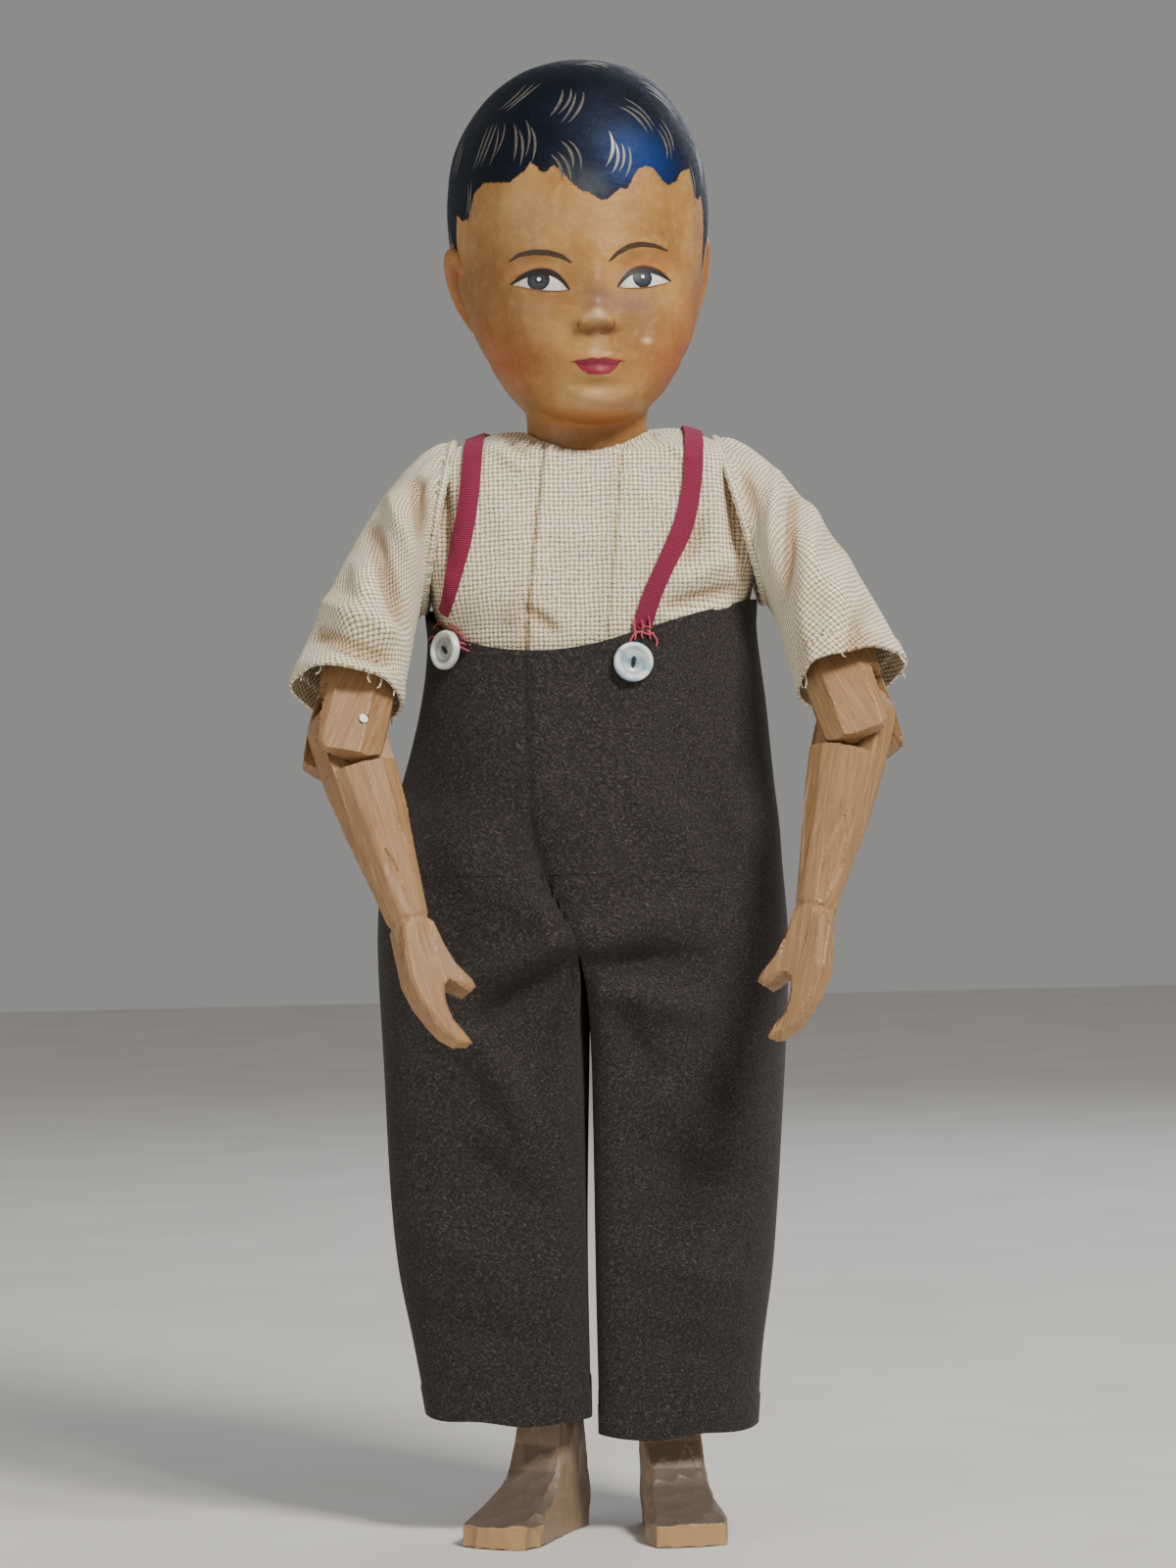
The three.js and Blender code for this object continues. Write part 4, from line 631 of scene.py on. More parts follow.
def turn_weave(piece, degrees):
    """Turns the cloth's threads in its own plane."""
    uv = np.zeros(len(piece.data.loops) * 2, np.float32)
    layer = piece.data.uv_layers.active.data
    layer.foreach_get("uv", uv)
    cos, sin = math.cos(math.radians(degrees)), math.sin(math.radians(degrees))
    uv = uv.reshape(-1, 2) @ np.array([[cos, sin], [-sin, cos]], np.float32)
    layer.foreach_set("uv", uv.ravel())


def ride(piece, body, material, nodes=()):
    piece.data.materials.clear()
    piece.data.materials.append(material)
    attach(piece, body)
    if nodes:
        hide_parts(*nodes)
    return piece


# Head

# Head sections: height, half width, and how far the face and the back lie from the axis
HEAD_ROWS = [
    (NECK_BOTTOM_Z, 16.3, 16.3, 16.3),
    (298.8, 16.3, 16.5, 16.4),
    (299.8, 16.6, 17.6, 16.5),
    (300.3, 17.0, 20.8, 16.6),
    (301.0, 18.0, 24.6, 16.8),
    (302.2, 20.6, 28.0, 17.4),
    (304.5, 23.0, 31.0, 18.6),
    (308.0, 25.2, 32.9, 20.6),
    (313.0, 26.3, 34.2, 23.4),
    (318.0, 27.6, 35.0, 26.4),
    (323.0, 29.0, 35.5, 29.0),
    (328.0, 30.7, 35.8, 31.6),
    (334.0, 32.2, 36.0, 34.0),
    (341.0, 33.8, 36.4, 36.2),
    (FACE_TOP_Z, 35.4, FACE_DEPTH, 38.0),
    (364.0, 35.6, 36.0, 38.2),
    (377.0, 33.2, 32.8, 35.6),
    (389.0, 26.0, 25.0, 28.0),
    (396.0, 17.0, 16.0, 18.6),
    (399.2, 7.6, 7.0, 8.0),
    (CROWN_Z, 0.2, 0.2, 0.2),
]

# Rounded forms of the face: distance from its middle, height, spread across, spread up, rise
FACE_FORMS = [
    (0, 342, 4.2, 7.0, 0.9),
    (0, 334.5, 3.3, 5.5, 1.7),
    (0, 326.6, 3.1, 3.2, 4.0),
    (4.0, 324.8, 1.9, 1.9, 1.9),
    (2.4, 322.0, 1.4, 1.0, -0.5),
    (0, 318.8, 1.2, 2.4, -0.35),
    (2.2, 315.6, 2.8, 1.3, 0.8),
    (0, 311.6, 4.0, 1.9, 1.3),
    (0, 308.2, 5.5, 1.8, -0.7),
    (0, 303.8, 8.0, 4.0, 1.5),
    (17, 317.0, 9.0, 8.5, 1.3),
    (14, 338.8, 8.0, 5.2, -2.1),
    (14, 336.4, 6.2, 3.4, 1.8),
    (14, 344.6, 9.0, 2.6, 0.6),
]


def face_rise(x, z):
    """How far the face stands out; a form away from the face's middle is there on both sides."""
    rise = np.zeros_like(x)
    for middle, height, across, up, amount in FACE_FORMS:
        for side in ([1] if middle == 0 else [-1, 1]):
            rise += amount * hump((x - FACE_SHIFT - side * middle) / across) * hump((z - height) / up)
    return rise


def turned(points, angle):
    """Points turned about the upright middle line."""
    cos, sin = math.cos(angle), math.sin(angle)
    x, y = points[:, 0] * cos - points[:, 1] * sin, points[:, 0] * sin + points[:, 1] * cos
    return np.stack([x, y, points[:, 2]], axis=1)


def widest_behind(z):
    """How far behind its axis the skull is widest."""
    return 9 * smooth(318, 350, z) * smooth(400, 380, z)


def head_place(around, up):
    """Rows run from the neck's middle out, up the neck and the face, and over the crown."""
    neck, face = 0.05, 0.72
    on_face = np.clip((up - neck) / (face - neck), 0, 1)
    on_cap = np.clip((up - face) / (1 - face), 0, 1)
    z = NECK_BOTTOM_Z + (FACE_TOP_Z - NECK_BOTTOM_Z) * on_face
    z = z + (CROWN_Z - FACE_TOP_Z) * np.sin(on_cap * math.pi / 2)
    width, front, back = values_at(HEAD_ROWS, z)
    # The seam runs down the back, and the columns crowd together at the face.
    even = (around + 0.25) * 2 * math.pi
    angle = even - 0.5 * np.cos(even)
    depth = np.where(np.sin(angle) < 0, front, back)
    closing = np.clip(up / neck, 0, 1)
    behind = widest_behind(z) * np.cos(angle) ** 4
    x, y = width * np.cos(angle) * closing, (depth * np.sin(angle) + behind) * closing
    # The face's forms begin at the sides of the head and soon reach their full rise.
    facing = smooth(0.27, 0.71, -y / FACE_DEPTH)
    y = y - facing * face_rise(x, z)
    # The jaw's lower edge rises from the chin toward the ears.
    jaw = smooth(325, 300, z) * smooth(298.6, 300, z)
    z = z + 4.6 * (x / 17) ** 2 * jaw
    return np.stack([x, y, z], axis=1)


# The hairline from the temple beside the right ear to the left one: across and height on the face
HAIRLINE = [
    (-33.7, 344.5), (-34.5, 350.6), (-34.5, 358.0), (-33.5, 355.6), (-32.1, 356.0), (-30.9, 362.2),
    (-28.9, 364.4), (-23.1, 363.3), (-19.0, 366.2), (-17.8, 368.1), (-16.1, 366.8), (-15.0, 364.9),
    (-13.7, 365.3), (-12.0, 367.0), (-10.4, 365.6), (-7.6, 361.9), (-5.1, 359.7), (-3.0, 359.2),
    (0.0, 357.1), (1.8, 357.4), (5.4, 360.5), (7.2, 360.1), (10.2, 365.5), (12.6, 366.7), (14.9, 366.2),
    (18.1, 362.4), (19.5, 362.0), (22.1, 363.6), (23.3, 366.0), (26.6, 367.7), (27.4, 364.3), (28.3, 360.0),
    (29.5, 359.6), (30.5, 361.3), (31.5, 356.0),
]


# The hair's edge behind an ear and over the nape: degrees round the head, and height
NAPE = [(180, 321), (150, 322), (132, 325), (120, 330), (112, 337), (107, 345), (100, 351)]

# A degree round the head in millimetres
DEGREE_ROUND = 0.62


def turn_on_head(x, z, behind):
    """Degrees round the head from the middle of the face."""
    width = values_at(HEAD_ROWS, z)[0]
    turn = np.degrees(np.arcsin(np.clip(x / width, -1, 1)))
    return np.where(behind, np.where(turn < 0, -180 - turn, 180 - turn), turn)


def hair_distance(local):
    """Millimetres inside the hair's edge, positive where hair is painted."""
    turn = turn_on_head(local[:, 0], local[:, 2], local[:, 1] > widest_behind(local[:, 2]))
    across, heights = np.array(HAIRLINE, float).T
    line = list(zip(turn_on_head(across, heights, np.zeros(len(across), bool)), heights))
    # Past the temples the edge drops in front of the ear, passes behind it and crosses the nape.
    start, end = line[0][0], line[-1][0]
    line = [(-a, z) for a, z in NAPE] + [(start - 5, 351), (start - 2, 343)] + line
    line += [(end + 3, 346), (end + 6, 340.5), (end + 9, 349), (end + 15, 351)] + NAPE[::-1]
    line = [(a * DEGREE_ROUND, z) for a, z in line]
    where = np.stack([turn * DEGREE_ROUND, local[:, 2]], axis=1)
    nearest = np.full(len(local), np.inf)
    inside = np.zeros(len(local), bool)
    for (ax, az), (bx, bz) in zip(line, line[1:]):
        offset = nearest_on_line(where, (ax, az), (bx, bz))[1]
        nearest = np.minimum(nearest, np.linalg.norm(offset, axis=1))
        # A place is inside where it lies above the line an odd number of times.
        if ax != bx:
            crosses = (min(ax, bx) <= where[:, 0]) & (where[:, 0] < max(ax, bx))
            inside ^= crosses & (where[:, 1] > az + (where[:, 0] - ax) / (bx - ax) * (bz - az))
    return np.where(inside, nearest, -nearest)


# Soft patches of each tone on the face: across, height, spread across, spread up, strength
PATCHES = {
    "thin": [(-3, 360, 6, 4.5, 1.1), (-9, 364, 4, 5, 0.6)],
    # The blue patches are a painted sheen on the hair.
    "blue": [(10, 371, 8, 6, 0.8), (17, 366, 6, 6, 0.5), (8, 364, 7, 3, 0.4)],
    "blush": [
        (-24, 315, 9, 7, 0.8), (23, 313, 10, 8, 1.0), (0, 301, 16, 3, 0.7), (-30, 322, 6, 10, 0.5),
        (13, 340.5, 6, 3.5, 0.5), (-17, 340, 6, 3.5, 0.45), (28, 326, 7, 12, 0.6),
    ],
    "shade": [
        (-30, 336, 6, 14, 0.45), (31, 335, 5, 14, 0.4), (-9, 337, 2.4, 6, 0.4), (6.4, 337, 2.2, 6, 0.3),
        (-1.2, 331.4, 2.4, 3.0, 0.55), (-3.5, 322.6, 5, 1.3, 0.7), (0.5, 322.6, 4, 1.2, 0.6),
        (0, 296, 20, 3, 0.6), (-2, 309, 6, 1.4, 0.25),
    ],
    "mauve": [
        # The mauve on the nose's bridge is painted shade; under the eyes and on the cheek it is the paint's own
        # tone.
        (-1.4, 331, 3.4, 4.4, 0.9), (7.5, 330.0, 9, 3.0, 1.0), (12, 323, 5, 5, 0.4),
        (-17, 329.6, 6, 2.0, 0.35),
    ],
    "light": [
        (-2.4, 326.4, 2.4, 1.5, 1.1), (-1.6, 318.5, 1.6, 3, 0.5), (12, 320.2, 1.3, 0.8, 1.0),
        (-3, 304.6, 9, 3, 0.35), (-10, 354, 14, 6, 0.15),
    ],
}


def blobs(local, places):
    """How strong a tone is at each point: its patches fade out round the sides of the head."""
    total = np.zeros(len(local))
    for x, z, across, up, strength in places:
        total += strength * hump((local[:, 0] - x) / across) * hump((local[:, 2] - z) / up)
    return np.clip(total * smooth(9, -9, local[:, 1]), 0, 1)


def make_head():
    head = wrapped_grid("painted_head", 270, 300, head_place)
    sew(head)
    local = to_doll(points_of(head))
    set_attribute(head, "hair", hair_distance(local))
    for tone, places in PATCHES.items():
        set_attribute(head, tone, blobs(local, places))
    return head


def surface_of(piece, scale=to_doll):
    """A piece's skin, for finding places on it: in millimetres, unless another scale is given."""
    faces = [tuple(face.vertices) for face in piece.data.polygons]
    return BVHTree.FromPolygons([Vector(p) for p in scale(points_of(piece))], faces)


class Painting:
    """Lays thin coats of paint on the face, each a little above the one below."""

    def __init__(self, head):
        self.tree = surface_of(head)

    def on_face(self, x, z, lift):
        hit, normal, _, _ = self.tree.ray_cast(Vector((x, IN_FRONT, z)), BACKWARD)
        if hit is None:
            hit, normal, _, _ = self.tree.find_nearest(Vector((x, -20, z)))
        return hit + normal * lift

    def patch(self, name, columns, rows, shape, lift, values=None):
        """A coat between the lines that shape(along, share) gives as across and height on the face.
        Values that change over it are kept as its ring."""
        rings = []

        def place(around, up):
            across, height = shape(around, up)
            if values:
                rings.extend(values(around, up))
            return np.array([tuple(self.on_face(x, z, lift)) for x, z in zip(across, height)])

        coat = wrapped_grid(name, columns, rows, place)
        if values:
            set_attribute(coat, "ring", rings)
        shade_smooth(coat)
        return coat

    def stroke(self, name, line, half_width, lift):
        """A brush stroke along a line of (across, height) places, tapering toward both ends."""
        line = np.array(line, float)
        spread = np.linspace(0, 1, len(line))

        def shape(along, share):
            (x, z), ahead, behind = [
                [np.interp(along + step, spread, line[:, axis]) for axis in (0, 1)]
                for step in (0, 0.02, -0.02)
            ]
            dx, dz = ahead[0] - behind[0], ahead[1] - behind[1]
            length = np.hypot(dx, dz)
            width = half_width * np.sin(np.pi * np.clip(along * 0.94 + 0.03, 0, 1)) ** 0.6
            offset = (share * 2 - 1) * width
            return x - dz / length * offset, z + dx / length * offset

        return self.patch(name, 24, 3, shape, lift)


def eyelids(inner, outer, low, high):
    """The lower and the upper lid's heights across an eye, from its inner to its outer corner."""

    def lower(share):
        return inner[1] + (outer[1] - inner[1]) * share - low * np.sin(np.pi * share)

    def upper(share):
        return inner[1] + (outer[1] - inner[1]) * share + high * np.sin(np.pi * share ** 0.8) ** 0.8

    return lower, upper


# Each eye: inner corner, outer corner, dip of the lower lid, rise of the upper lid, iris centre and radius
EYES = {
    "right": ((-9.1, 333.6), (-22.7, 336.2), 0.9, 4.1, (-16.4, 336.7), 2.75),
    "left": ((4.4, 334.1), (19.2, 336.3), 0.9, 3.9, (11.0, 336.9), 2.75),
}
BROWS = {
    "right": [(-23.4, 342.4), (-21.1, 343.8), (-17.9, 344.2), (-13.8, 343.7), (-10.5, 342.6), (-8.0, 340.8)],
    "left": [(1.8, 340.9), (4.1, 343.1), (7.3, 344.9), (10.5, 345.6), (14.7, 345.4), (18.7, 344.3)],
}


def paint_eye(painting, side, paints):
    inner, outer, low, high, centre, radius = EYES[side]
    lower, upper = eyelids(inner, outer, low, high)
    across = outer[0] - inner[0]

    def white(along, share):
        return inner[0] + across * along, lower(along) + (upper(along) - lower(along)) * share

    def disc(size, middle):
        def shape(along, share):
            x = middle[0] + size * np.sin((along - 0.5) * np.pi)
            half = np.sqrt(np.maximum(size**2 - (x - middle[0]) ** 2, 0))
            at = np.clip((x - inner[0]) / across, 0, 1)
            bottom = np.maximum(middle[1] - half, lower(at))
            top = np.minimum(middle[1] + half, upper(at) - 0.05)
            return x, bottom + (np.maximum(top, bottom) - bottom) * share
        return shape

    def ring(along, share):
        x, z = disc(radius, centre)(along, share)
        return np.hypot(x - centre[0], z - centre[1]) / radius

    def lid_line(lid, rise, start, end, count):
        """A lid's line, moved up, between two shares of the eye's width."""
        return [
            (inner[0] + across * share, float(lid(np.clip(share, 0, 1))) + rise)
            for share in np.linspace(start, end, count)
        ]

    glint = (centre[0] + 0.1, centre[1] + 0.2)
    upper_lid = lid_line(upper, 0.1, -0.03, 1.02, 14)
    lower_lid = lid_line(lower, -0.1, 0.0, 1.0, 12)
    crease = lid_line(upper, 1.1, 0.12, 0.95, 12)
    return [
        (painting.patch(f"eye_white_{side}", 30, 10, white, 0.03, lambda along, share: along),
         paints["white"]),
        (painting.patch(f"iris_{side}", 26, 16, disc(radius, centre), 0.05, ring), paints["iris"]),
        (painting.patch(f"pupil_{side}", 14, 8, disc(0.95, centre), 0.07), paints["pupil"]),
        (painting.patch(f"eye_glint_{side}", 10, 6, disc(0.5, glint), 0.09), paints["glint"]),
        # The upper lid's line is wide enough to take in the shade under the lid: part paint, part painted shade.
        (painting.stroke(f"upper_lid_{side}", upper_lid, 0.85, 0.1), paints["lid"]),
        (painting.stroke(f"lower_lid_{side}", lower_lid, 0.2, 0.06), paints["under"]),
        (painting.stroke(f"lid_crease_{side}", crease, 0.28, 0.04), paints["under"]),
        (painting.stroke(f"brow_{side}", BROWS[side], 0.72, 0.05), paints["brow"]),
    ]


# Dark strokes under and beside the nose: painted shadow under the nostrils and painted shade along the wings
NOSE_SHADE_LINES = [
    [(-6.3, 325.4), (-7.0, 324.2), (-6.4, 323.0), (-5.4, 322.5)],
    [(-4.9, 322.4), (-4.0, 321.9), (-3.0, 322.0)],
    [(-1.0, 322.0), (0.0, 321.9), (0.9, 322.4)],
    [(1.4, 322.5), (2.4, 323.0), (2.9, 324.2), (2.3, 325.4)],
]


def paint_nose_shade(painting, paints):
    # Each stroke is painted shade.
    return [
        (painting.stroke(f"nose_shade_line_{k}", line, 0.22, 0.05), paints["under"])
        for k, line in enumerate(NOSE_SHADE_LINES)
    ]


def paint_mouth(painting, paints):
    """Two peaks above and one full lower lip, with a dark line between."""
    left, right = -8.3, 5.3
    middle = (left + right) / 2

    def mouth_line(s):
        return 314.5 - 0.45 * np.sin(np.pi * s) + 0.25 * np.cos(4 * np.pi * s)

    def upper(along, share):
        dip = hump((along - 0.5) / 0.09)
        peaks = np.sin(np.pi * along) ** 0.8 * (1.75 - 0.75 * dip)
        return left + (right - left) * along, mouth_line(along) + peaks * share

    def lower(along, share):
        inset = 0.06
        along = inset + along * (1 - 2 * inset)
        full = np.sin(np.pi * (along - inset) / (1 - 2 * inset)) ** 0.75 * 3.1
        return left + (right - left) * along, mouth_line(along) - full * (1 - share)

    line = [(left + (right - left) * s, float(mouth_line(s))) for s in np.linspace(-0.05, 1.05, 14)]
    return [
        (painting.patch("upper_lip", 40, 8, upper, 0.04), paints["lip"]),
        (painting.patch("lower_lip", 40, 10, lower, 0.04), paints["lip"]),
        (painting.stroke("mouth_line", line, 0.22, 0.08), paints["mouth"]),
    ]


# Groups of strokes in the hair: turn round the head in degrees, height, lean, count and length
HAIR_STROKES = [
    (5, 395, -62, 3, 8), (-50, 381, 40, 3, 12), (-15, 378.5, 18, 4, 12), (23, 375.5, -36, 3, 12),
    (50, 380, -42, 3, 14), (-37, 372, -10, 4, 12), (-64, 373, 14, 3, 16), (-54, 372.5, 4, 2, 11),
    (-15, 368.5, -22, 4, 10), (8, 369.5, 10, 4, 10), (36, 372.5, -8, 3, 11), (54, 366, -12, 2, 11),
    (-74, 364, 10, 2, 13), (70, 370, -10, 3, 12), (-92, 372, 8, 3, 12), (92, 370, -8, 3, 12),
    (-104, 354, 10, 3, 12), (106, 354, -10, 3, 12), (-126, 366, 6, 3, 12), (128, 368, -6, 3, 12),
    (-150, 350, 8, 3, 12), (152, 348, -6, 3, 12), (176, 362, 4, 4, 12), (-165, 380, 14, 3, 11),
    (150, 385, -14, 3, 11), (-110, 386, 20, 3, 11), (110, 386, -20, 3, 11), (-135, 338, 6, 3, 11),
    (138, 337, -6, 3, 11), (178, 336, 0, 4, 11),
]

# How far apart the strokes of a group lie
STROKE_SPACING = 1.9


def stroke_place(painting, hit, along, across, shape):
    """How one stroke lies on the head: its shape is its shift across, length, bow, slide and half width."""
    shift, reach, bow, slide, half = shape

    def place(around, up):
        points = []
        for share, edge in zip(around * 2 - 1, up * 2 - 1):
            width = half * (1 - abs(share) ** 2.2) * edge
            sideways = shift + bow * (1 - share * share) + width
            spot = hit + along * (share * reach / 2 + slide) + across * sideways
            near, normal, _, _ = painting.tree.find_nearest(spot)
            points.append(tuple(near + normal * 0.06))
        return np.array(points)

    return place


def hair_strokes(painting):
    """Curved pale strokes of the brush, in groups side by side, on the dark hair."""
    rng = random.Random(7)
    pieces = []
    for turn, height, lean, count, length in HAIR_STROKES:
        azimuth = math.radians(turn)
        # Above the forehead a group lies on the crown's slope.
        outward = Vector((math.sin(azimuth), -math.cos(azimuth), max(0.0, (height - 362) / 30) ** 1.5))
        outward.normalize()
        hit, normal, _, _ = painting.tree.find_nearest(Vector((0, 0, height - 4)) + outward * 38)
        beside = UP.cross(normal)
        beside.normalize()
        tilt = math.radians(lean)
        along = normal.cross(beside) * math.cos(tilt) + beside * math.sin(tilt)
        across = along.cross(normal)
        for i in range(count):
            shift = (i - (count - 1) / 2) * STROKE_SPACING
            reach = length * (0.8 + 0.3 * rng.random())
            bow = 1.0 + 0.7 * rng.random()
            slide = (rng.random() - 0.5) * 3
            half = 0.33 + 0.14 * rng.random()
            place = stroke_place(painting, hit, along, across, (shift, reach, bow, slide, half))
            pieces.append(wrapped_grid(f"hair_stroke_{len(pieces)}", 14, 2, place))
    strokes = join(pieces, "hair_strokes")
    shade_smooth(strokes)
    return strokes


# Each ear: how far its middle lies from the head's axis, its tilt and its height, and its half sizes
EAR_X = {-1: 30.5, 1: 30.9}
EAR_TILT = {-1: 0.36, 1: 0.2}
EAR_Z = {-1: 336.4, 1: 339.4}
EAR_HALF = (3.5, 7.9, 14.2)


def make_ear(side):
    """A carved ear: a flattened ball with a rolled rim, a hollow and a small lobe."""
    ear = unit_ball(f"carved_ear_{'left' if side > 0 else 'right'}", 96, 64)
    unit = points_of(ear)
    x, y, z = unit[:, 0] * side, unit[:, 1], unit[:, 2]
    # The outline narrows toward the lobe.
    narrow = 1 - 0.36 * smooth(0.2, -1.0, z)
    spot = np.hypot((y * narrow + 0.06) / 0.62, (z - 0.12) / 0.68)
    rim = hump((spot - 1.22) / 0.2)
    hollow = smooth(1.05, 0.35, spot)
    fold = np.hypot((y + 0.25) / 0.42, (z + 0.02) / 0.5)
    inner_rim = hump((fold - 1.0) / 0.16) * smooth(1.2, 0.9, spot)
    outer = x > 0
    thick = np.where(outer, x * (1 - 0.75 * hollow) + 0.16 * rim + 0.1 * inner_rim, x)
    points = np.stack([side * thick, y * narrow, z], axis=1) * np.array(EAR_HALF)
    turn = Euler((-0.14, side * EAR_TILT[side], -side * 0.3)).to_matrix()
    points = points @ np.array(turn).T + np.array([side * EAR_X[side], 4.5, EAR_Z[side]])
    set_points(ear, to_frame(turned(points, HEAD_YAW)))
    shade_smooth(ear)
    # The whole ear is blushed; the deeper blush in its hollow, with the shade there, is painted shade.
    tones = {
        "hair": np.full(len(unit), -9.0),
        "blush": np.clip(0.4 + 0.5 * hollow, 0, 1),
        "shade": np.clip(0.85 * hollow - 0.3 * inner_rim, 0, 1) * outer,
    }
    for tone in TONES:
        set_attribute(ear, tone, tones.get(tone, np.zeros(len(unit))))
    return ear


# The face's paints: name, colours from the darker to the paler streaks, roughness, and if it is ringed
PAINTS = {
    "white": ("eye_white_oil_paint",
              [(0.02, "#B08072"), (0.12, "#E0D8CB"), (0.6, "#EAE4D9"), (1.0, "#CBBDA8")], 0.3, True),
    "iris": ("grey_blue_oil_paint",
             [(0.0, "#14171B"), (0.4, "#303740"), (0.7, "#262D36"), (0.9, "#080A0D")], 0.5, True),
    "pupil": ("dark_slate_oil_paint", [(0.3, "#101216"), (0.7, "#181B20")], 0.5),
    "glint": ("white_oil_paint", [(0.3, "#F4F1EA"), (0.7, "#FFFFFF")], 0.3),
    "lid": ("black_brown_oil_paint", [(0.3, "#120D0A"), (0.7, "#1E1612")], 0.6),
    "under": ("red_brown_oil_paint", [(0.3, "#6E3E1E"), (0.7, "#84502A")]),
    "brow": ("umber_oil_paint", [(0.3, "#35251A"), (0.7, "#4C3726")]),
    "lip": ("crimson_oil_paint", [(0.25, "#660F20"), (0.5, "#861930"), (0.75, "#9E2842")], 0.55),
    "mouth": ("dark_crimson_oil_paint", [(0.3, "#5E1524"), (0.7, "#701C2C")]),
    "stroke": ("grey_oil_paint", [(0.3, "#454240"), (0.55, "#5F5A54"), (0.8, "#7A7064")]),
}


def build_head(skin):
    head = make_head()
    painting = Painting(head)
    paints = {use: paint(*look) for use, look in PAINTS.items()}
    coats = paint_eye(painting, "right", paints) + paint_eye(painting, "left", paints)
    coats += paint_mouth(painting, paints)
    coats += paint_nose_shade(painting, paints)
    coats.append((hair_strokes(painting), paints["stroke"]))
    for coat, material in coats:
        local = to_doll(points_of(coat))
        set_points(coat, to_frame(turned(local, HEAD_YAW)))
        ride(coat, "head", material)
    set_points(head, to_frame(turned(to_doll(points_of(head)), HEAD_YAW)))
    ride(head, "head", skin, ["head"])
    for side in (-1, 1):
        ride(make_ear(side), "head", skin)


# Shirt

# Share of the height, then the half width and the half depth
SHIRT_ROWS = [
    (SHIRT_BOTTOM_Z + share * (SHIRT_TOP_Z - SHIRT_BOTTOM_Z), width * 41, depth * 23)
    for share, width, depth in [
        (0, 0.985, 0.991), (0.19, 0.98, 1.017), (0.358, 1, 1.087), (0.526, 1.063, 1.104),
        (0.671, 1.146, 1.078), (0.805, 1.122, 1.017), (0.895, 1.059, 0.957), (0.951, 0.976, 0.887),
        (0.984, 0.829, 0.765), (1, 0.62, 0.66),
    ]
]

# Folds of the shirt's front: start and end as (across, height), spread and rise
SHIRT_RIDGES = [
    ((-40, 285), (-37, 262), 1.8, -1.4), ((-36, 268), (-38, 248), 2.0, 1.0),
    ((-31, 287), (-34, 262), 2.4, 0.6), ((38, 286), (41, 258), 2.0, -1.6), ((34, 284), (33, 262), 2.2, 0.8),
    ((30, 272), (26, 262), 2.2, -0.8), ((-22, 248), (-14, 262), 2.0, 0.7),
    ((-17, 250), (-10, 244), 1.6, -0.8), ((24, 256), (38, 262), 2.4, 0.9),
    ((22, 250), (38, 254), 2.0, -1.0), ((20, 246), (36, 250), 1.6, 0.8), ((-26, 294), (-18, 288), 1.4, 0.7),
    ((20, 294), (27, 289), 1.4, 0.7), ((-21, 296), (-16, 291), 1.2, -0.5),
    ((17, 297), (22, 291), 1.2, -0.5), ((-10, 270), (6, 268), 5.0, 0.5), ((10, 284), (20, 276), 3.0, 0.4),
    ((-24, 280), (-20, 268), 4.0, 0.5),
]


def shirt_place(around, up):
    """The shirt from its lower edge over the shoulders to the neckline."""
    angle = (around + 0.25) * 2 * math.pi
    body = 0.84
    share = np.clip(up / body, 0, 1)
    front = np.clip(-np.sin(angle), 0, 1)
    z = SHIRT_BOTTOM_Z + (294.5 - 3.4 * front**2 - SHIRT_BOTTOM_Z) * share
    width, depth = values_at(SHIRT_ROWS, z)
    # The cloth runs out squarely to the armholes.
    power = 2.5 + 1.6 * smooth(244, 260, z) * smooth(297, 290, z)
    reach = oval_reach(angle, width, depth, power)
    gather = hump((z - SHOULDER_Z + 11) / 14) * np.abs(np.cos(angle)) ** 3
    reach = reach + 0.7 * gather * np.cos(14 * angle)
    closing = np.clip((up - body) / (1 - body), 0, 1)
    side = np.abs(np.cos(angle))
    # The yoke rises to the neckline, lowest in front, and is gathered beside the placket.
    neck_reach = 17.3 + 0.35 * np.cos(18 * angle) * (1 - front)
    neck_z = 298.9 - 6.5 * front**2
    beside = hump((front - 0.75) / 0.2)
    pleats = 0.5 * np.cos(34 * angle) * (0.3 + beside) + 0.4 * side * np.cos(9 * angle)
    ease = closing**0.8
    reach = reach * (1 - ease) + neck_reach * ease
    z = z * (1 - closing) + neck_z * closing + np.sin(math.pi * closing) * (1.5 * side + pleats)
    return np.stack([np.cos(angle) * reach, np.sin(angle) * reach, z], axis=1)


def select_near_plane(piece, place, outward):
    """Selects the edges that lie in a plane, given in millimetres round the middle."""
    near = np.abs((to_doll(points_of(piece)) - place) @ outward) < 0.01
    ends = np.zeros(len(piece.data.edges) * 2, dtype=np.int32)
    piece.data.edges.foreach_get("vertices", ends)
    piece.data.vertices.foreach_set("select", near)
    piece.data.edges.foreach_set("select", near[ends].reshape(-1, 2).all(axis=1))
    piece.data.polygons.foreach_set("select", np.zeros(len(piece.data.polygons), bool))


# The armhole's turned-in edge: how far it stands off the armhole's plane, and its radius
ARMHOLE_EDGE = [(0.2, 23.6), (0.9, 14.6)]


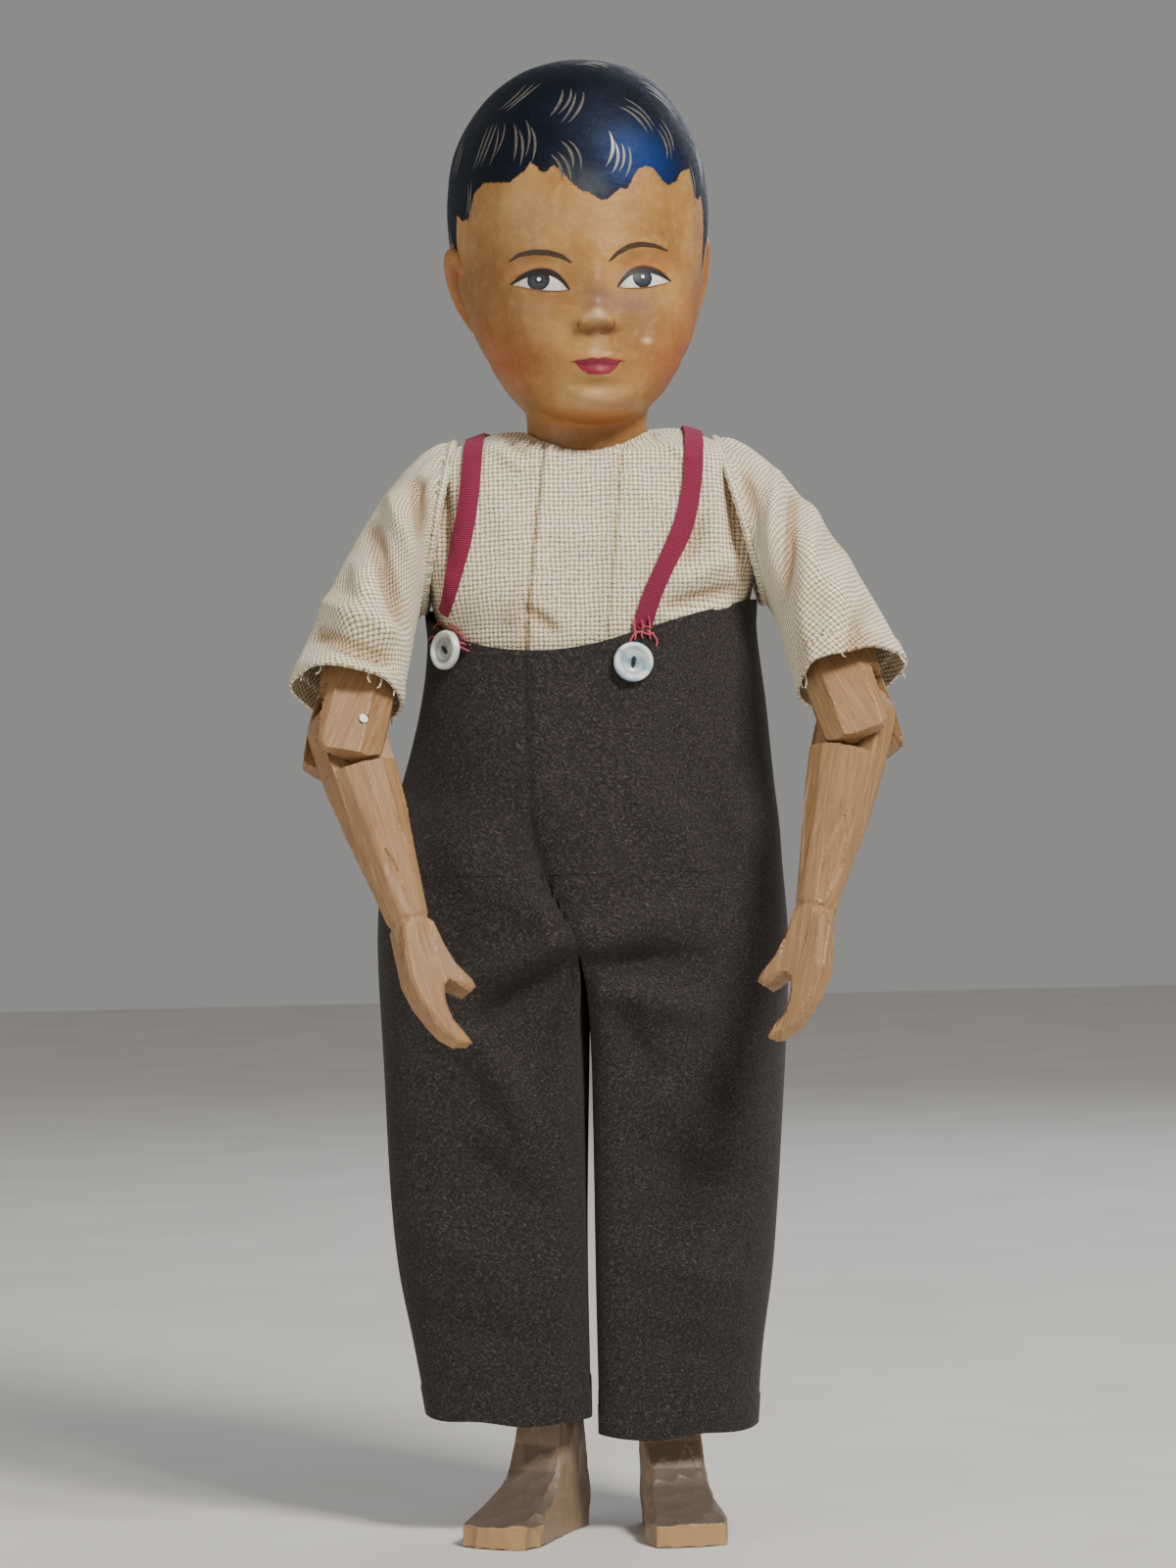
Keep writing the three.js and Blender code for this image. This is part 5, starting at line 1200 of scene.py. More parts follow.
def draw_in(piece, place, outward, off, radius):
    """Extrudes the selected edges to a ring round a place, some way off along its outward direction."""
    bpy.ops.object.mode_set(mode="EDIT")
    bpy.ops.mesh.extrude_edges_move()
    bpy.ops.object.mode_set(mode="OBJECT")
    chosen = np.zeros(len(piece.data.vertices), bool)
    piece.data.vertices.foreach_get("select", chosen)
    points = to_doll(points_of(piece))
    spoke = points - place
    spoke -= np.outer(spoke @ outward, outward)
    spoke /= np.maximum(np.linalg.norm(spoke, axis=1), 1e-6)[:, None]
    ring = place + outward * off + spoke * radius
    set_points(piece, to_frame(np.where(chosen[:, None], ring, points)))


def cut_armholes(piece):
    """Cuts the body at each armhole and turns the edge in under the sleeve's head, as a round collar."""
    for side_name, side in SIDES.items():
        splay = ARM_SPLAY[side_name]
        outward = np.array([side * math.cos(splay), 0.0, math.sin(splay)])
        place = np.array([side * ARMHOLE_X, 0.0, SHOULDER_Z])
        focus(piece)
        bpy.ops.object.mode_set(mode="EDIT")
        bpy.ops.mesh.select_all(action="SELECT")
        bpy.ops.mesh.bisect(plane_co=Vector(to_frame(place)), plane_no=Vector(outward), clear_outer=True)
        bpy.ops.mesh.select_all(action="DESELECT")
        bpy.ops.mesh.select_mode(type="EDGE")
        bpy.ops.object.mode_set(mode="OBJECT")
        select_near_plane(piece, place, outward)
        for off, radius in ARMHOLE_EDGE:
            draw_in(piece, place, outward, off, radius)
    face_outward(piece)


# The placket's two seams: across and height, from the neckline to the waist
PLACKET_SEAMS = {
    "right": [
        (-11.0, 296), (-12.4, 288), (-14.0, 276), (-15.4, 264), (-17.0, 250), (-17.6, 240), (-17.8, 226),
    ],
    "left": [
        (9.4, 296), (8.2, 286), (7.0, 272), (5.4, 258), (4.2, 246), (3.6, 236), (3.2, 226),
    ],
}


def seam_distance(points, line):
    """How far each point lies from a seam, seen from the front, and on which side of it."""
    flat = points[:, [0, 2]]
    nearest = np.full(len(points), np.inf)
    side = np.zeros(len(points))
    for start, end in zip(line, line[1:]):
        _, offset = nearest_on_line(flat, start, end)
        away = np.linalg.norm(offset, axis=1)
        closer = away < nearest
        nearest = np.where(closer, away, nearest)
        side = np.where(closer, np.sign(offset[:, 0]), side)
    return nearest, side


def build_shirt(cloth):
    shirt = wrapped_grid("shirt_body_cloth", 300, 150, shirt_place)
    sew(shirt)
    points, normals = to_doll(points_of(shirt)), normals_of(shirt)
    front = smooth(0.1, 0.7, -normals[:, 1])
    folds = 1.8 * ridge_field(points, SHIRT_RIDGES) * smooth(-0.2, 0.5, -normals[:, 1])
    placket = np.zeros(len(points))
    crease = np.zeros(len(points))
    for name, line in PLACKET_SEAMS.items():
        away, side = seam_distance(points, line)
        inward = side * -SIDES[name]
        # The placket lies on top, so the cloth steps up toward the middle and dips along the seam.
        placket += 0.5 * (hump(away / 4.0) + hump((away - 1.2) / 0.8)) * (inward > 0) * front
        crease += hump(away / 0.7) * front
    moved = points + normals * (folds + placket - 0.6 * crease)[:, None]
    set_points(shirt, to_frame(moved))
    # Painted shade in the placket's crease and in the folds' hollows, kept as the fold attribute
    dark = np.clip(0.75 * crease + np.clip(-folds, 0, 1) * 0.8, 0, 1)
    set_attribute(shirt, "fold", dark)
    cut_armholes(shirt)
    thicken(shirt, LINEN_WALL)
    crisp_shading(shirt, CLOTH_CREASE)
    ride(shirt, "torso", cloth, ["shirt_body"])
    return shirt


# Folds of each sleeve, seen from the front
SLEEVE_RIDGES = {
    "right": [
        ((-46, 284), (-43, 262), 2.2, -1.8), ((-52, 280), (-44, 250), 2.6, 1.6),
        ((-58, 272), (-50, 246), 2.4, -1.1), ((-70, 252), (-50, 242), 3.0, 1.3),
        ((-72, 244), (-52, 236), 2.6, -1.0), ((-76, 236), (-50, 230), 3.2, 0.8),
        ((-62, 262), (-56, 244), 3.0, 0.8), ((-64, 230), (-48, 222), 3.0, 0.7),
        ((-47, 250), (-50, 242), 2.2, -0.6),
    ],
    "left": [
        ((42, 284), (44, 262), 2.2, -2.0), ((50, 284), (47, 252), 2.6, 1.6),
        ((56, 278), (50, 250), 2.2, -1.2), ((60, 276), (56, 240), 3.4, 1.2),
        ((68, 262), (60, 232), 3.6, 0.8), ((50, 248), (52, 240), 2.2, -0.6),
        ((72, 248), (66, 234), 3.0, -0.5), ((58, 236), (56, 220), 2.6, 0.9),
        ((46, 240), (52, 232), 2.0, 0.8),
    ],
}


def arm_matrix(side_name):
    """From an arm's own frame, where it hangs along -Z, to the doll's middle, in millimetres."""
    side = SIDES[side_name]
    place = Matrix.Translation(Vector((side * ARMHOLE_X, 0, SHOULDER_Z)))
    splay = Matrix.Rotation(-side * ARM_SPLAY[side_name], 4, "Y")
    return place @ splay @ Matrix.Rotation(-ARM_SWING, 4, "X")


def moved_by(matrix, points):
    m = np.array(matrix)
    return points @ m[:3, :3].T + m[:3, 3]


# How far the sleeve's hem reaches out from the arm's root, and the armhole seam's radius
HEM_X = 15.2
ARMHOLE_RADIUS = 23.1


def hem_place(cos, sin, half_width, half_depth):
    """The oval of a sleeve's hem, which dips at the front."""
    z = 1.5 * sin - SLEEVE_LENGTH
    return np.stack([HEM_X + cos * half_width, sin * half_depth * (1 - 0.06 * cos), z], axis=-1)


def sleeve_place(side):
    """A sleeve from its hem up to the armhole; angle 0 is its outer side."""

    def place(around, up):
        angle = (around - 0.5) * 2 * math.pi
        cos, sin = np.cos(angle), np.sin(angle)
        t = up
        inward = (1 - cos) / 2
        hem = hem_place(cos, sin, 14.8, 16.6)
        armhole = np.stack([np.full_like(t, 0.4), sin * ARMHOLE_RADIUS, 0.6 + cos * 23.6], axis=1)
        leave_hem = np.stack([-4 - 4 * cos, sin * 4, 62 + 0 * t], axis=1)
        meet = np.stack([-46 * (1 - inward) ** 0.8 - 2, sin * 3, 34 * inward], axis=1)
        t2, t3 = t**2, t**3
        points = (2 * t3 - 3 * t2 + 1)[:, None] * hem + (t3 - 2 * t2 + t)[:, None] * leave_hem
        points += (3 * t2 - 2 * t3)[:, None] * armhole + (t3 - t2)[:, None] * meet
        # Easy folds run down the outer side.
        fading = smooth(-0.7, 0.2, cos) * np.sin(np.pi * np.clip(t + 0.15, 0, 1))
        wave = 0.7 * (1.4 - t) * np.cos(5 * angle + 3 * t) * fading
        # The hem is turned up by 5 mm, and small pleats ease the head into the armhole.
        wave = wave + 0.45 * smooth(0.085, 0.075, t)
        pleated = smooth(0.72, 0.92, t) * smooth(1.0, 0.95, t) * smooth(-0.4, 0.4, cos)
        wave = wave + 0.55 * np.cos(17 * angle) * pleated
        out = np.stack([cos, sin, 0 * t], axis=1)
        points = points + out * wave[:, None]
        points[:, 0] *= side
        return points

    return place


def build_armhole_seam(side_name, cloth):
    """The rolled seam where the sleeve is set in, round the shoulder's own axis."""
    side = SIDES[side_name]
    matrix = arm_matrix(side_name)

    def place(around, up):
        turn, roll = around * 2 * math.pi, up * 2 * math.pi
        thick = 1.15 + 0.14 * np.cos(40 * turn)
        radius = ARMHOLE_RADIUS + thick * np.cos(roll)
        x = side * (0.1 + thick * np.sin(roll))
        return moved_by(matrix, np.stack([x, np.sin(turn) * radius, 0.6 + np.cos(turn) * radius], axis=1))

    seam = wrapped_grid(f"armhole_seam_{side_name}", 300, 14, place)
    sew(seam)
    edit_all(seam, FACE_ONE_WAY)
    ride(seam, f"upper_arm_{side_name}", cloth)


def build_sleeve(side_name, cloth):
    side = SIDES[side_name]
    matrix = arm_matrix(side_name)
    make = sleeve_place(side)
    sleeve = wrapped_grid(f"sleeve_cloth_{side_name}", 220, 150, lambda a, u: moved_by(matrix, make(a, u)))
    sew(sleeve)
    points, normals = to_doll(points_of(sleeve)), normals_of(sleeve)
    # The folds die out where the sleeve is sewn in.
    splay = ARM_SPLAY[side_name]
    away = (points[:, 0] * side - ARMHOLE_X) * math.cos(splay) + (points[:, 2] - SHOULDER_Z) * math.sin(splay)
    showing = smooth(-0.3, 0.5, -normals[:, 1]) * smooth(0.5, 8, away)
    folds = 2.4 * ridge_field(points, SLEEVE_RIDGES[side_name]) * showing
    set_points(sleeve, to_frame(points + normals * folds[:, None]))
    # Painted shade in the folds' hollows
    set_attribute(sleeve, "fold", np.clip(-folds * 0.8, 0, 1))
    turn_weave(sleeve, -side * 24)
    thicken(sleeve, LINEN_WALL)
    crisp_shading(sleeve, CLOTH_CREASE)
    ride(sleeve, f"upper_arm_{side_name}", cloth, [f"sleeve_{side_name}"])
    return sleeve


# Frayed threads at a sleeve's hem: turn round the arm in degrees from its outer side, length and curl
HEM_FRAYS = {
    "right": [
        (-128, 3.4, 1.2), (-112, 2.6, -0.8), (-60, 2.0, 0.9), (-34, 2.8, -1.0), (150, 2.6, 0.8),
        (-150, 2.2, 0.6),
    ],
    "left": [
        (-20, 3.2, 1.0), (-8, 2.4, -1.1), (-96, 2.0, 0.7), (-146, 3.6, -1.2), (-158, 2.6, 0.9),
        (20, 2.2, 0.7),
    ],
}

# Half the thickness of a frayed yarn
FRAY_RADIUS = 0.2


def build_frays(side_name, cloth):
    """Yarns that have come loose from a sleeve's hem."""
    matrix = arm_matrix(side_name)
    threads = []
    for k, (turn, length, curl) in enumerate(HEM_FRAYS[side_name]):
        cos, sin = math.cos(math.radians(turn)), math.sin(math.radians(turn))
        hem = hem_place(cos, sin, 14.6, 16.4)
        out, along = np.array([cos, sin, 0.0]), np.array([-sin, cos, 0.0])
        # Each thread starts in the cloth, hangs down and curls away at its end.
        course = ((1.0, 0, 0), (-0.35 * length, 0, 0), (-0.75 * length, 0.3, 0.4), (-length, 0.5, 1))
        line = np.array([
            hem + off * out + share * curl * along + (0, 0, drop) for drop, off, share in course
        ])
        line[:, 0] *= SIDES[side_name]
        threads.append(thread_tube(f"fray_{side_name}_{k}", moved_by(matrix, line), FRAY_RADIUS))
    frays = join(threads, f"frayed_hem_{side_name}")
    close_tubes(frays)
    ride(frays, f"upper_arm_{side_name}", cloth)


# Trousers

# How the trousers draw in from the seat to the waist: share of the height, and share drawn in
DRAW_IN = [(0, 0), (0.16, 0.12), (0.36, 0.42), (0.55, 0.67), (0.74, 0.87), (0.9, 0.98), (1, 1)]
WAIST_HALF_WIDTH = 44.8
WAIST_HALF_DEPTH = 28.0

# Height, half width to the right and to the left, and half depth
SEAT_ROWS = [
    (SEAT_BOTTOM_Z + share * (WAIST_Z - SEAT_BOTTOM_Z),
     SEAT_HALF_WIDTH["right"] + (WAIST_HALF_WIDTH - SEAT_HALF_WIDTH["right"]) * drawn,
     SEAT_HALF_WIDTH["left"] + (WAIST_HALF_WIDTH - SEAT_HALF_WIDTH["left"]) * drawn,
     LEGS_HALF_DEPTH + (WAIST_HALF_DEPTH - LEGS_HALF_DEPTH) * drawn)
    for share, drawn in DRAW_IN
]

# Height share from the hem up, then the taper at the sides and the taper from front to back
LEG_SHARES = [
    (0, 1, 1), (0.14, 0.75, 0.92), (0.27, 0.44, 0.79), (0.39, 0.27, 0.67), (0.54, 0.12, 0.46),
    (0.71, -0.03, 0.25), (0.87, -0.1, 0.05), (1, 0, 0),
]

# Where the two legs part, seen from the front: height, then distance across
PARTING = [
    (27, -4.6), (90, -4.4), (128, -4.2), (148, -4.4), (160, -5.6), (168, -9.5), (176, -13.2), (189, -16.6),
    (210, -17.4), (247, -18.2),
]

# Folds of the trousers' front
TROUSER_RIDGES = [
    ((-8, 162), (-30, 152), 4.0, 1.6), ((-10, 154), (-34, 140), 3.6, -1.6),
    ((-4, 160), (-26, 176), 5.0, 0.8), ((-2, 160), (22, 168), 5.0, 1.4), ((0, 154), (26, 156), 4.0, -1.5),
    ((2, 148), (24, 142), 4.5, 1.3), ((-30, 132), (-20, 112), 5.0, 1.4), ((-44, 150), (-32, 128), 6.0, 0.9),
    ((-36, 104), (-20, 92), 5.0, -0.9), ((12, 104), (36, 96), 6.0, -1.0), ((16, 118), (40, 112), 6.0, 0.9),
    ((-40, 190), (-30, 170), 7.0, 0.8), ((30, 196), (40, 176), 7.0, -0.7),
    ((-24, 200), (-10, 184), 6.0, -0.6), ((10, 206), (24, 186), 7.0, 0.7),
    ((-6, 150), (-16, 132), 3.0, -1.0), ((6, 140), (14, 126), 3.5, -0.9), ((-48, 84), (-30, 72), 6.0, 0.8),
    ((10, 76), (34, 68), 6.0, 0.8), ((-50, 60), (-20, 54), 5.0, -0.5), ((8, 54), (34, 48), 5.0, -0.5),
]


def felt_fold(angle, z):
    return 1.1 * np.cos(3 * angle + 0.03 * z) + 0.6 * np.cos(7 * angle - 0.05 * z)


def trouser_outline(side_name, z):
    """Half widths to the doll's right and left and the half depth of both legs together."""
    share = np.clip((z - HEM_Z[side_name]) / (SEAT_BOTTOM_Z - HEM_Z[side_name]), 0, 1)
    taper, narrowing = values_at(LEG_SHARES, share)
    seat = values_at(SEAT_ROWS, z)
    below = z < SEAT_BOTTOM_Z
    right = np.where(below, SEAT_HALF_WIDTH["right"] - LEG_TAPER["right"] * taper, seat[0])
    left = np.where(below, SEAT_HALF_WIDTH["left"] - LEG_TAPER["left"] * taper, seat[1])
    depth = np.where(below, LEGS_HALF_DEPTH - 12.0 * narrowing, seat[2])
    up = (z - SEAT_BOTTOM_Z) / (WAIST_Z - SEAT_BOTTOM_Z)
    power = np.where(below, 2.7 + 0.3 * smooth(140, SEAT_BOTTOM_Z, z), 2.3 + 0.7 * smooth(0.35, 0, up))
    return right, left, depth, power


def parting_at(z):
    heights, across = zip(*PARTING)
    return np.interp(z, heights, across)


# The waist's front edge: across and height
WAIST_EDGE = [
    (-48, 250.0), (-46, 249.0), (-33, 241.6), (-15.6, 238.7), (-1, 239.9), (13.6, 243.8), (30, 248.4),
    (46, 252.2), (48, 252.4),
]
WAIST_BACK_Z = 251.0


def seat_place(around, up):
    angle = (around + 0.25) * 2 * math.pi
    edge_reach = oval_reach(angle, WAIST_HALF_WIDTH, WAIST_HALF_DEPTH, 2.3)
    front_edge = values_at(WAIST_EDGE, np.cos(angle) * edge_reach)[0]
    top = WAIST_BACK_Z + (front_edge - WAIST_BACK_Z) * smooth(0.1, -0.15, np.sin(angle))
    z = SEAT_BOTTOM_Z + (top - SEAT_BOTTOM_Z) * up
    right, left, depth, power = trouser_outline("right", z)
    reach = oval_reach(angle, (right + left) / 2, depth, power)
    reach = reach + felt_fold(angle, z) * smooth(0.0, 0.44, 1 - up) * 0.8
    # The edge is turned in and stands a little off the shirt.
    reach = reach + 0.5 * smooth(0.9, 1.0, up)
    return np.stack([(left - right) / 2 + np.cos(angle) * reach, np.sin(angle) * reach, z], axis=1)


# How far each leg's inner wall stands from the parting below the crotch
LEG_GAP = 1.15


def soft_least(a, b, blend):
    """The lesser of two, with the corner between them rounded over the blend's length."""
    gap = np.maximum(blend - np.abs(a - b), 0) / blend
    return np.minimum(a, b) - gap * gap * blend / 4


def outer_reach(cos, sin, z, centre_x, outline):
    """How far both legs' outline lies from one leg's middle along each ray, and its turn round both legs."""
    right, left, depth, power = outline
    whole_x, whole_width = (left - right) / 2, (right + left) / 2
    low, high = np.zeros_like(z), np.full_like(z, 90.0)
    for _ in range(26):
        reach = (low + high) / 2
        x, y = centre_x + cos * reach - whole_x, sin * reach
        inside = np.abs(x / whole_width) ** power + np.abs(y / depth) ** power < 1
        low, high = np.where(inside, reach, low), np.where(inside, high, reach)
    outer = (low + high) / 2
    return outer, np.arctan2(sin * outer, centre_x + cos * outer - whole_x)


def inner_reach(cos, sin, z, centre_x, outer, side):
    """How far a leg's inner wall lies from the leg's middle: at the parting in front and near the doll's
    middle line behind. Where a ray meets the wall depends on its depth, so it is found in steps."""
    toward = -cos * side
    gap = LEG_GAP * smooth(161, 140, z)
    back_x = -1.0 - 3.0 * smooth(SEAT_BOTTOM_Z, 60, z)
    wall_x = np.full_like(z, -1.0)
    for step in range(4):
        if step:
            forward = smooth(6, 24, -sin * np.minimum(inner, outer))
            wall_x = back_x + (parting_at(z) - back_x) * forward
        ahead = (centre_x - (wall_x + side * gap)) * side
        inner = np.where(toward > 0.02, ahead / np.maximum(toward, 0.02), 200.0)
    return inner


def leg_place(side_name, bottom, top):
    """A stretch of a trouser leg; its ring starts at the inner side, where the legs face each other."""
    side = SIDES[side_name]
    hem = HEM_Z[side_name]

    def place(around, up):
        angle = (around - 0.5) * 2 * math.pi
        cos, sin = np.cos(angle) * side, np.sin(angle)
        z = bottom + (top - bottom) * up
        outline = trouser_outline(side_name, z)
        right, left = outline[:2]
        centre_x = (left - right) / 2 + side * ((right + left) / 2) * 0.52
        outer, outer_turn = outer_reach(cos, sin, z, centre_x, outline)
        folded = np.maximum(smooth(-0.2, 0.4, np.cos(angle)), smooth(150, 172, z))
        outer = outer + felt_fold(outer_turn, z) * 0.8 * folded
        inner = inner_reach(cos, sin, z, centre_x, outer, side)
        reach = soft_least(outer, inner, 0.4 + 13.0 * smooth(163, 126, z))
        # The hem is turned up by 8 mm and hangs a little unevenly.
        reach = reach + 0.35 * smooth(hem + 8.2, hem + 7.6, z)
        sag = 0.7 * np.cos(2 * angle + 0.6) + 0.5 * np.cos(5 * angle)
        z = z + sag * smooth(hem + 26, hem, z)
        return np.stack([centre_x + cos * reach, sin * reach, z], axis=1)

    return place


def shape_felt(piece):
    """Folds, the front seam and the crease below it, and painted shade along the seam and the crease and in the
    folds' hollows.
    """
    points, normals = to_doll(points_of(piece)), normals_of(piece)
    folds = 2.0 * ridge_field(points, TROUSER_RIDGES) * smooth(0.0, 0.6, -normals[:, 1])
    away = np.abs(points[:, 0] - parting_at(points[:, 2]))
    front = smooth(0.2, 0.7, -normals[:, 1])
    seam = hump(away / 0.9) * front * smooth(168, 180, points[:, 2])
    # Below the seam the cloth falls in along the parting as a soft crease.
    crease = hump(away / 3.0) * front * smooth(200, 180, points[:, 2]) * smooth(140, 152, points[:, 2])
    set_points(piece, to_frame(points + normals * (folds - 0.5 * seam - 1.5 * crease)[:, None]))
    # The fold attribute is painted shade along the seam and the crease and in the folds' hollows.
    set_attribute(piece, "fold", np.clip(0.9 * seam + 0.4 * crease + 0.25 * np.clip(-folds, 0, 2), 0, 1))


def build_trousers(felt):
    seat = wrapped_grid("trouser_seat_cloth", 300, 90, seat_place)
    sew(seat)
    shape_felt(seat)
    thicken(seat, FELT_WALL)
    crisp_shading(seat, CLOTH_CREASE)
    ride(seat, "torso", felt, ["trouser_seat"])
    for side_name in SIDES:
        build_trouser_leg(side_name, felt)
    return seat


def build_trouser_leg(side_name, felt):
    """One tube in two stretches that part at the knee."""
    above_knee = leg_place(side_name, KNEE_SPLIT_Z, SEAT_BOTTOM_Z)
    below_knee = leg_place(side_name, HEM_Z[side_name], KNEE_SPLIT_Z)
    upper = wrapped_grid(f"trouser_upper_leg_{side_name}", 200, 90, above_knee)
    lower = wrapped_grid(f"trouser_lower_leg_{side_name}", 200, 100, below_knee)
    for piece in (upper, lower):
        sew(piece)
        shape_felt(piece)
        piece.data.materials.append(felt)
        thicken(piece, FELT_WALL)
        crisp_shading(piece, CLOTH_CREASE)
    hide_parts(f"trouser_thigh_{side_name}")
    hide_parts(f"trouser_shin_{side_name}")
    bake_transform(upper)
    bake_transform(lower)


# Wooden limbs

# A bore's plug: its radius and length, and how far out along the bore its middle lies
PLUG_RADIUS = 1.6
PLUG_LENGTH = 4.0
PLUG_REACH = 10.0


def fill_bore(piece, place, direction):
    """Plugs the mouth of a bore, 0.3 mm proud of the wood round it. The bore runs through a place."""
    tree = surface_of(piece, np.asarray)
    deselect()
    bpy.ops.mesh.primitive_cylinder_add(
        vertices=24, radius=PLUG_RADIUS * MM, depth=PLUG_LENGTH * MM, location=UP * PLUG_REACH * MM)
    bpy.ops.object.transform_apply(location=True, rotation=True, scale=True)
    plug = current("bore_plug")
    turn = UP.rotation_difference(direction).to_matrix()
    points = [turn @ Vector(p) + place for p in points_of(plug)]
    for i, point in enumerate(points):
        if (point - place).dot(direction) > PLUG_REACH * MM:
            hit = tree.ray_cast(point + direction * 20 * MM, -direction)[0]
            points[i] = hit + direction * 0.3 * MM
    set_points(plug, np.array([tuple(p) for p in points]))
    join([piece, plug], piece.name)


# The grain of the even skin that a limb gets before it is cut
SKIN_GRAIN = 0.5


def carved_copy(node_name, name, bore):
    """A copy of a frame node with an even skin, whose corners are a little worn."""
    source = frame["nodes"][node_name]
    piece = source.copy()
    piece.data = source.data.copy()
    for key in list(piece.keys()):
        if key.startswith("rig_"):
            del piece[key]
    piece.parent = None
    bpy.context.scene.collection.objects.link(piece)
    focus(piece)
    current(name)
    edit_all(piece, (bpy.ops.mesh.remove_doubles, {"threshold": 0.001 * MM}))
    bpy.ops.mesh.customdata_custom_splitnormals_clear()
    if bore:
        fill_bore(piece, *bore)
    piece.data.remesh_voxel_size = SKIN_GRAIN * MM
    bpy.ops.object.voxel_remesh()
    return piece


# How the knife cuts each kind of limb: the facets' spacing, how much longer they are along the limb, their
# depth, and how hollow they are
UPPER_ARM_CUT = (5.4, 9.0, 0.2, 0.15)
FOREARM_CUT = (4.6, 7.0, 0.22, 0.15)
FOOT_CUT = (4.8, 1.7, 0.5, 0.75)

# Places are told apart by the way they face too: a normal counts as this many millimetres.
FACING_REACH = 2.0

# How far from the line between two facets their shared edge is paler
EDGE_REACH = 0.7


def facet_middles(places, normals, spacing, seed):
    """Picks places in a random order, a spacing apart from the others that face the same way."""
    order = list(range(len(places)))
    random.Random(seed).shuffle(order)
    chosen = []
    taken = {}
    for i in order:
        cell = (places[i] // spacing).astype(int)
        around = [taken.get(tuple(cell + step), ()) for step in itertools.product((-1, 0, 1), repeat=3)]
        if all(
            np.sum((places[i] - places[j]) ** 2) >= spacing**2 or normals[i] @ normals[j] <= 0.5
            for j in itertools.chain(*around)
        ):
            taken.setdefault(tuple(cell), []).append(i)
            chosen.append(i)
    return chosen


def knife_facets(piece, direction, knife, seed):
    """Cuts flats or shallow scoops into the skin, never outward. Tells how near an edge each point lies."""
    spacing, stretch, depth, hollow = knife
    points, normals = points_of(piece) / MM, normals_of(piece)
    along = np.array(Vector(direction).normalized())
    squeezed = points - np.outer(points @ along, along) * (1 - 1 / stretch)
    chosen = facet_middles(squeezed, normals, spacing, seed)
    tree = KDTree(len(chosen))
    for k, i in enumerate(chosen):
        tree.insert(Vector(squeezed[i] + normals[i] * FACING_REACH), k)
    tree.balance()
    moves = np.zeros(len(points))
    edge = np.zeros(len(points))
    for i, (point, place, normal) in enumerate(zip(points, squeezed, normals)):
        (_, k, first), (_, _, second) = tree.find_n(Vector(place + normal * FACING_REACH), 2)
        middle, facing = points[chosen[k]], normals[chosen[k]]
        flat = float(facing @ (middle - depth * facing - point)) / max(float(normal @ facing), 0.4)
        scoop = -depth * (1 - min(1.0, first / (spacing * 0.75)) ** 2)
        moves[i] = min(0.0, max(-2.2 * depth, flat * (1 - hollow) + scoop * hollow))
        edge[i] = max(0.0, 1 - (second - first) / EDGE_REACH)
    set_points(piece, (points + normals * moves[:, None]) * MM)
    return edge


def build_limb(node_name, name, body, direction, knife, seed, bore=None):
    """A knife-cut copy of a limb. The feet are soiled on top, and their toes and the fingertips are paler."""
    piece = carved_copy(node_name, name, bore)
    edge = knife_facets(piece, direction, knife, seed)
    heights, facing = points_of(piece)[:, 2] / MM, normals_of(piece)
    foot = "foot" in node_name
    if foot:
        fresh = smooth(7.5, 6, heights) * smooth(0.5, 0.8, -facing[:, 1])
    else:
        end = heights.min()
        fresh = 0.7 * smooth(end + 5, end + 1, heights) * ("forearm" in node_name)
    top = smooth(0.2, 0.8, facing[:, 2]) * smooth(36, 20, heights)
    set_attribute(piece, "edge", edge)
    set_attribute(piece, "soil", np.clip(0.8 * top + 0.1, 0, 1) * (1 - fresh))
    set_attribute(piece, "fresh", fresh)
    crisp_shading(piece, KNIFE_CREASE)
    ride(piece, body, honey_wood(f"waxed_{name}", direction, foot), [node_name])


def limb_directions():
    """Which way each limb runs, from its joints' places."""
    places = {joint["name"]: Vector(joint["pos_m"]) for joint in frame["joints"]}
    found = {}
    for side_name, side in SIDES.items():
        elbow = places[f"elbow_{side_name}"]
        low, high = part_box(f"forearm_{side_name}")
        found[f"upper_arm_{side_name}"] = places[f"shoulder_{side_name}"] - elbow
        hand = Vector(((low.x + high.x) / 2 - side * 10 * MM, low.y + 8 * MM, low.z))
        found[f"forearm_{side_name}"] = elbow - hand
    return found


def build_limbs():
    directions = limb_directions()
    joints = {joint["name"]: joint for joint in frame["joints"]}
    # The left elbow's pin was driven from behind, and its front end doesn't show.
    elbow = joints["elbow_left"]
    bores = {"left": (Vector(elbow["pos_m"]), Vector(elbow["axis"]).normalized())}
    for i, side_name in enumerate(SIDES):
        arm, forearm = f"upper_arm_{side_name}", f"forearm_{side_name}"
        foot, shin = f"carved_foot_{side_name}", f"shin_{side_name}"
        build_limb(arm, f"carved_{arm}", arm, directions[arm], UPPER_ARM_CUT, 11 + i, bores.get(side_name))
        build_limb(forearm, f"carved_{forearm}", forearm, directions[forearm], FOREARM_CUT, 21 + i)
        build_limb(f"shin_foot_{side_name}", foot, shin, UP, FOOT_CUT, 31 + i)


def dress_frame(pale, steel):
    """Gives the nodes that stay in view their own finish."""
    finishes = {"pale_wood": pale, "steel": steel}
    slots = {part["node"]: part["material_slot"] for part in frame["record"]["subparts"]}
    for name, node in frame["nodes"].items():
        if slots[name] in finishes:
            node.data.materials.clear()
            node.data.materials.append(finishes[slots[name]])


# Braces and buttons

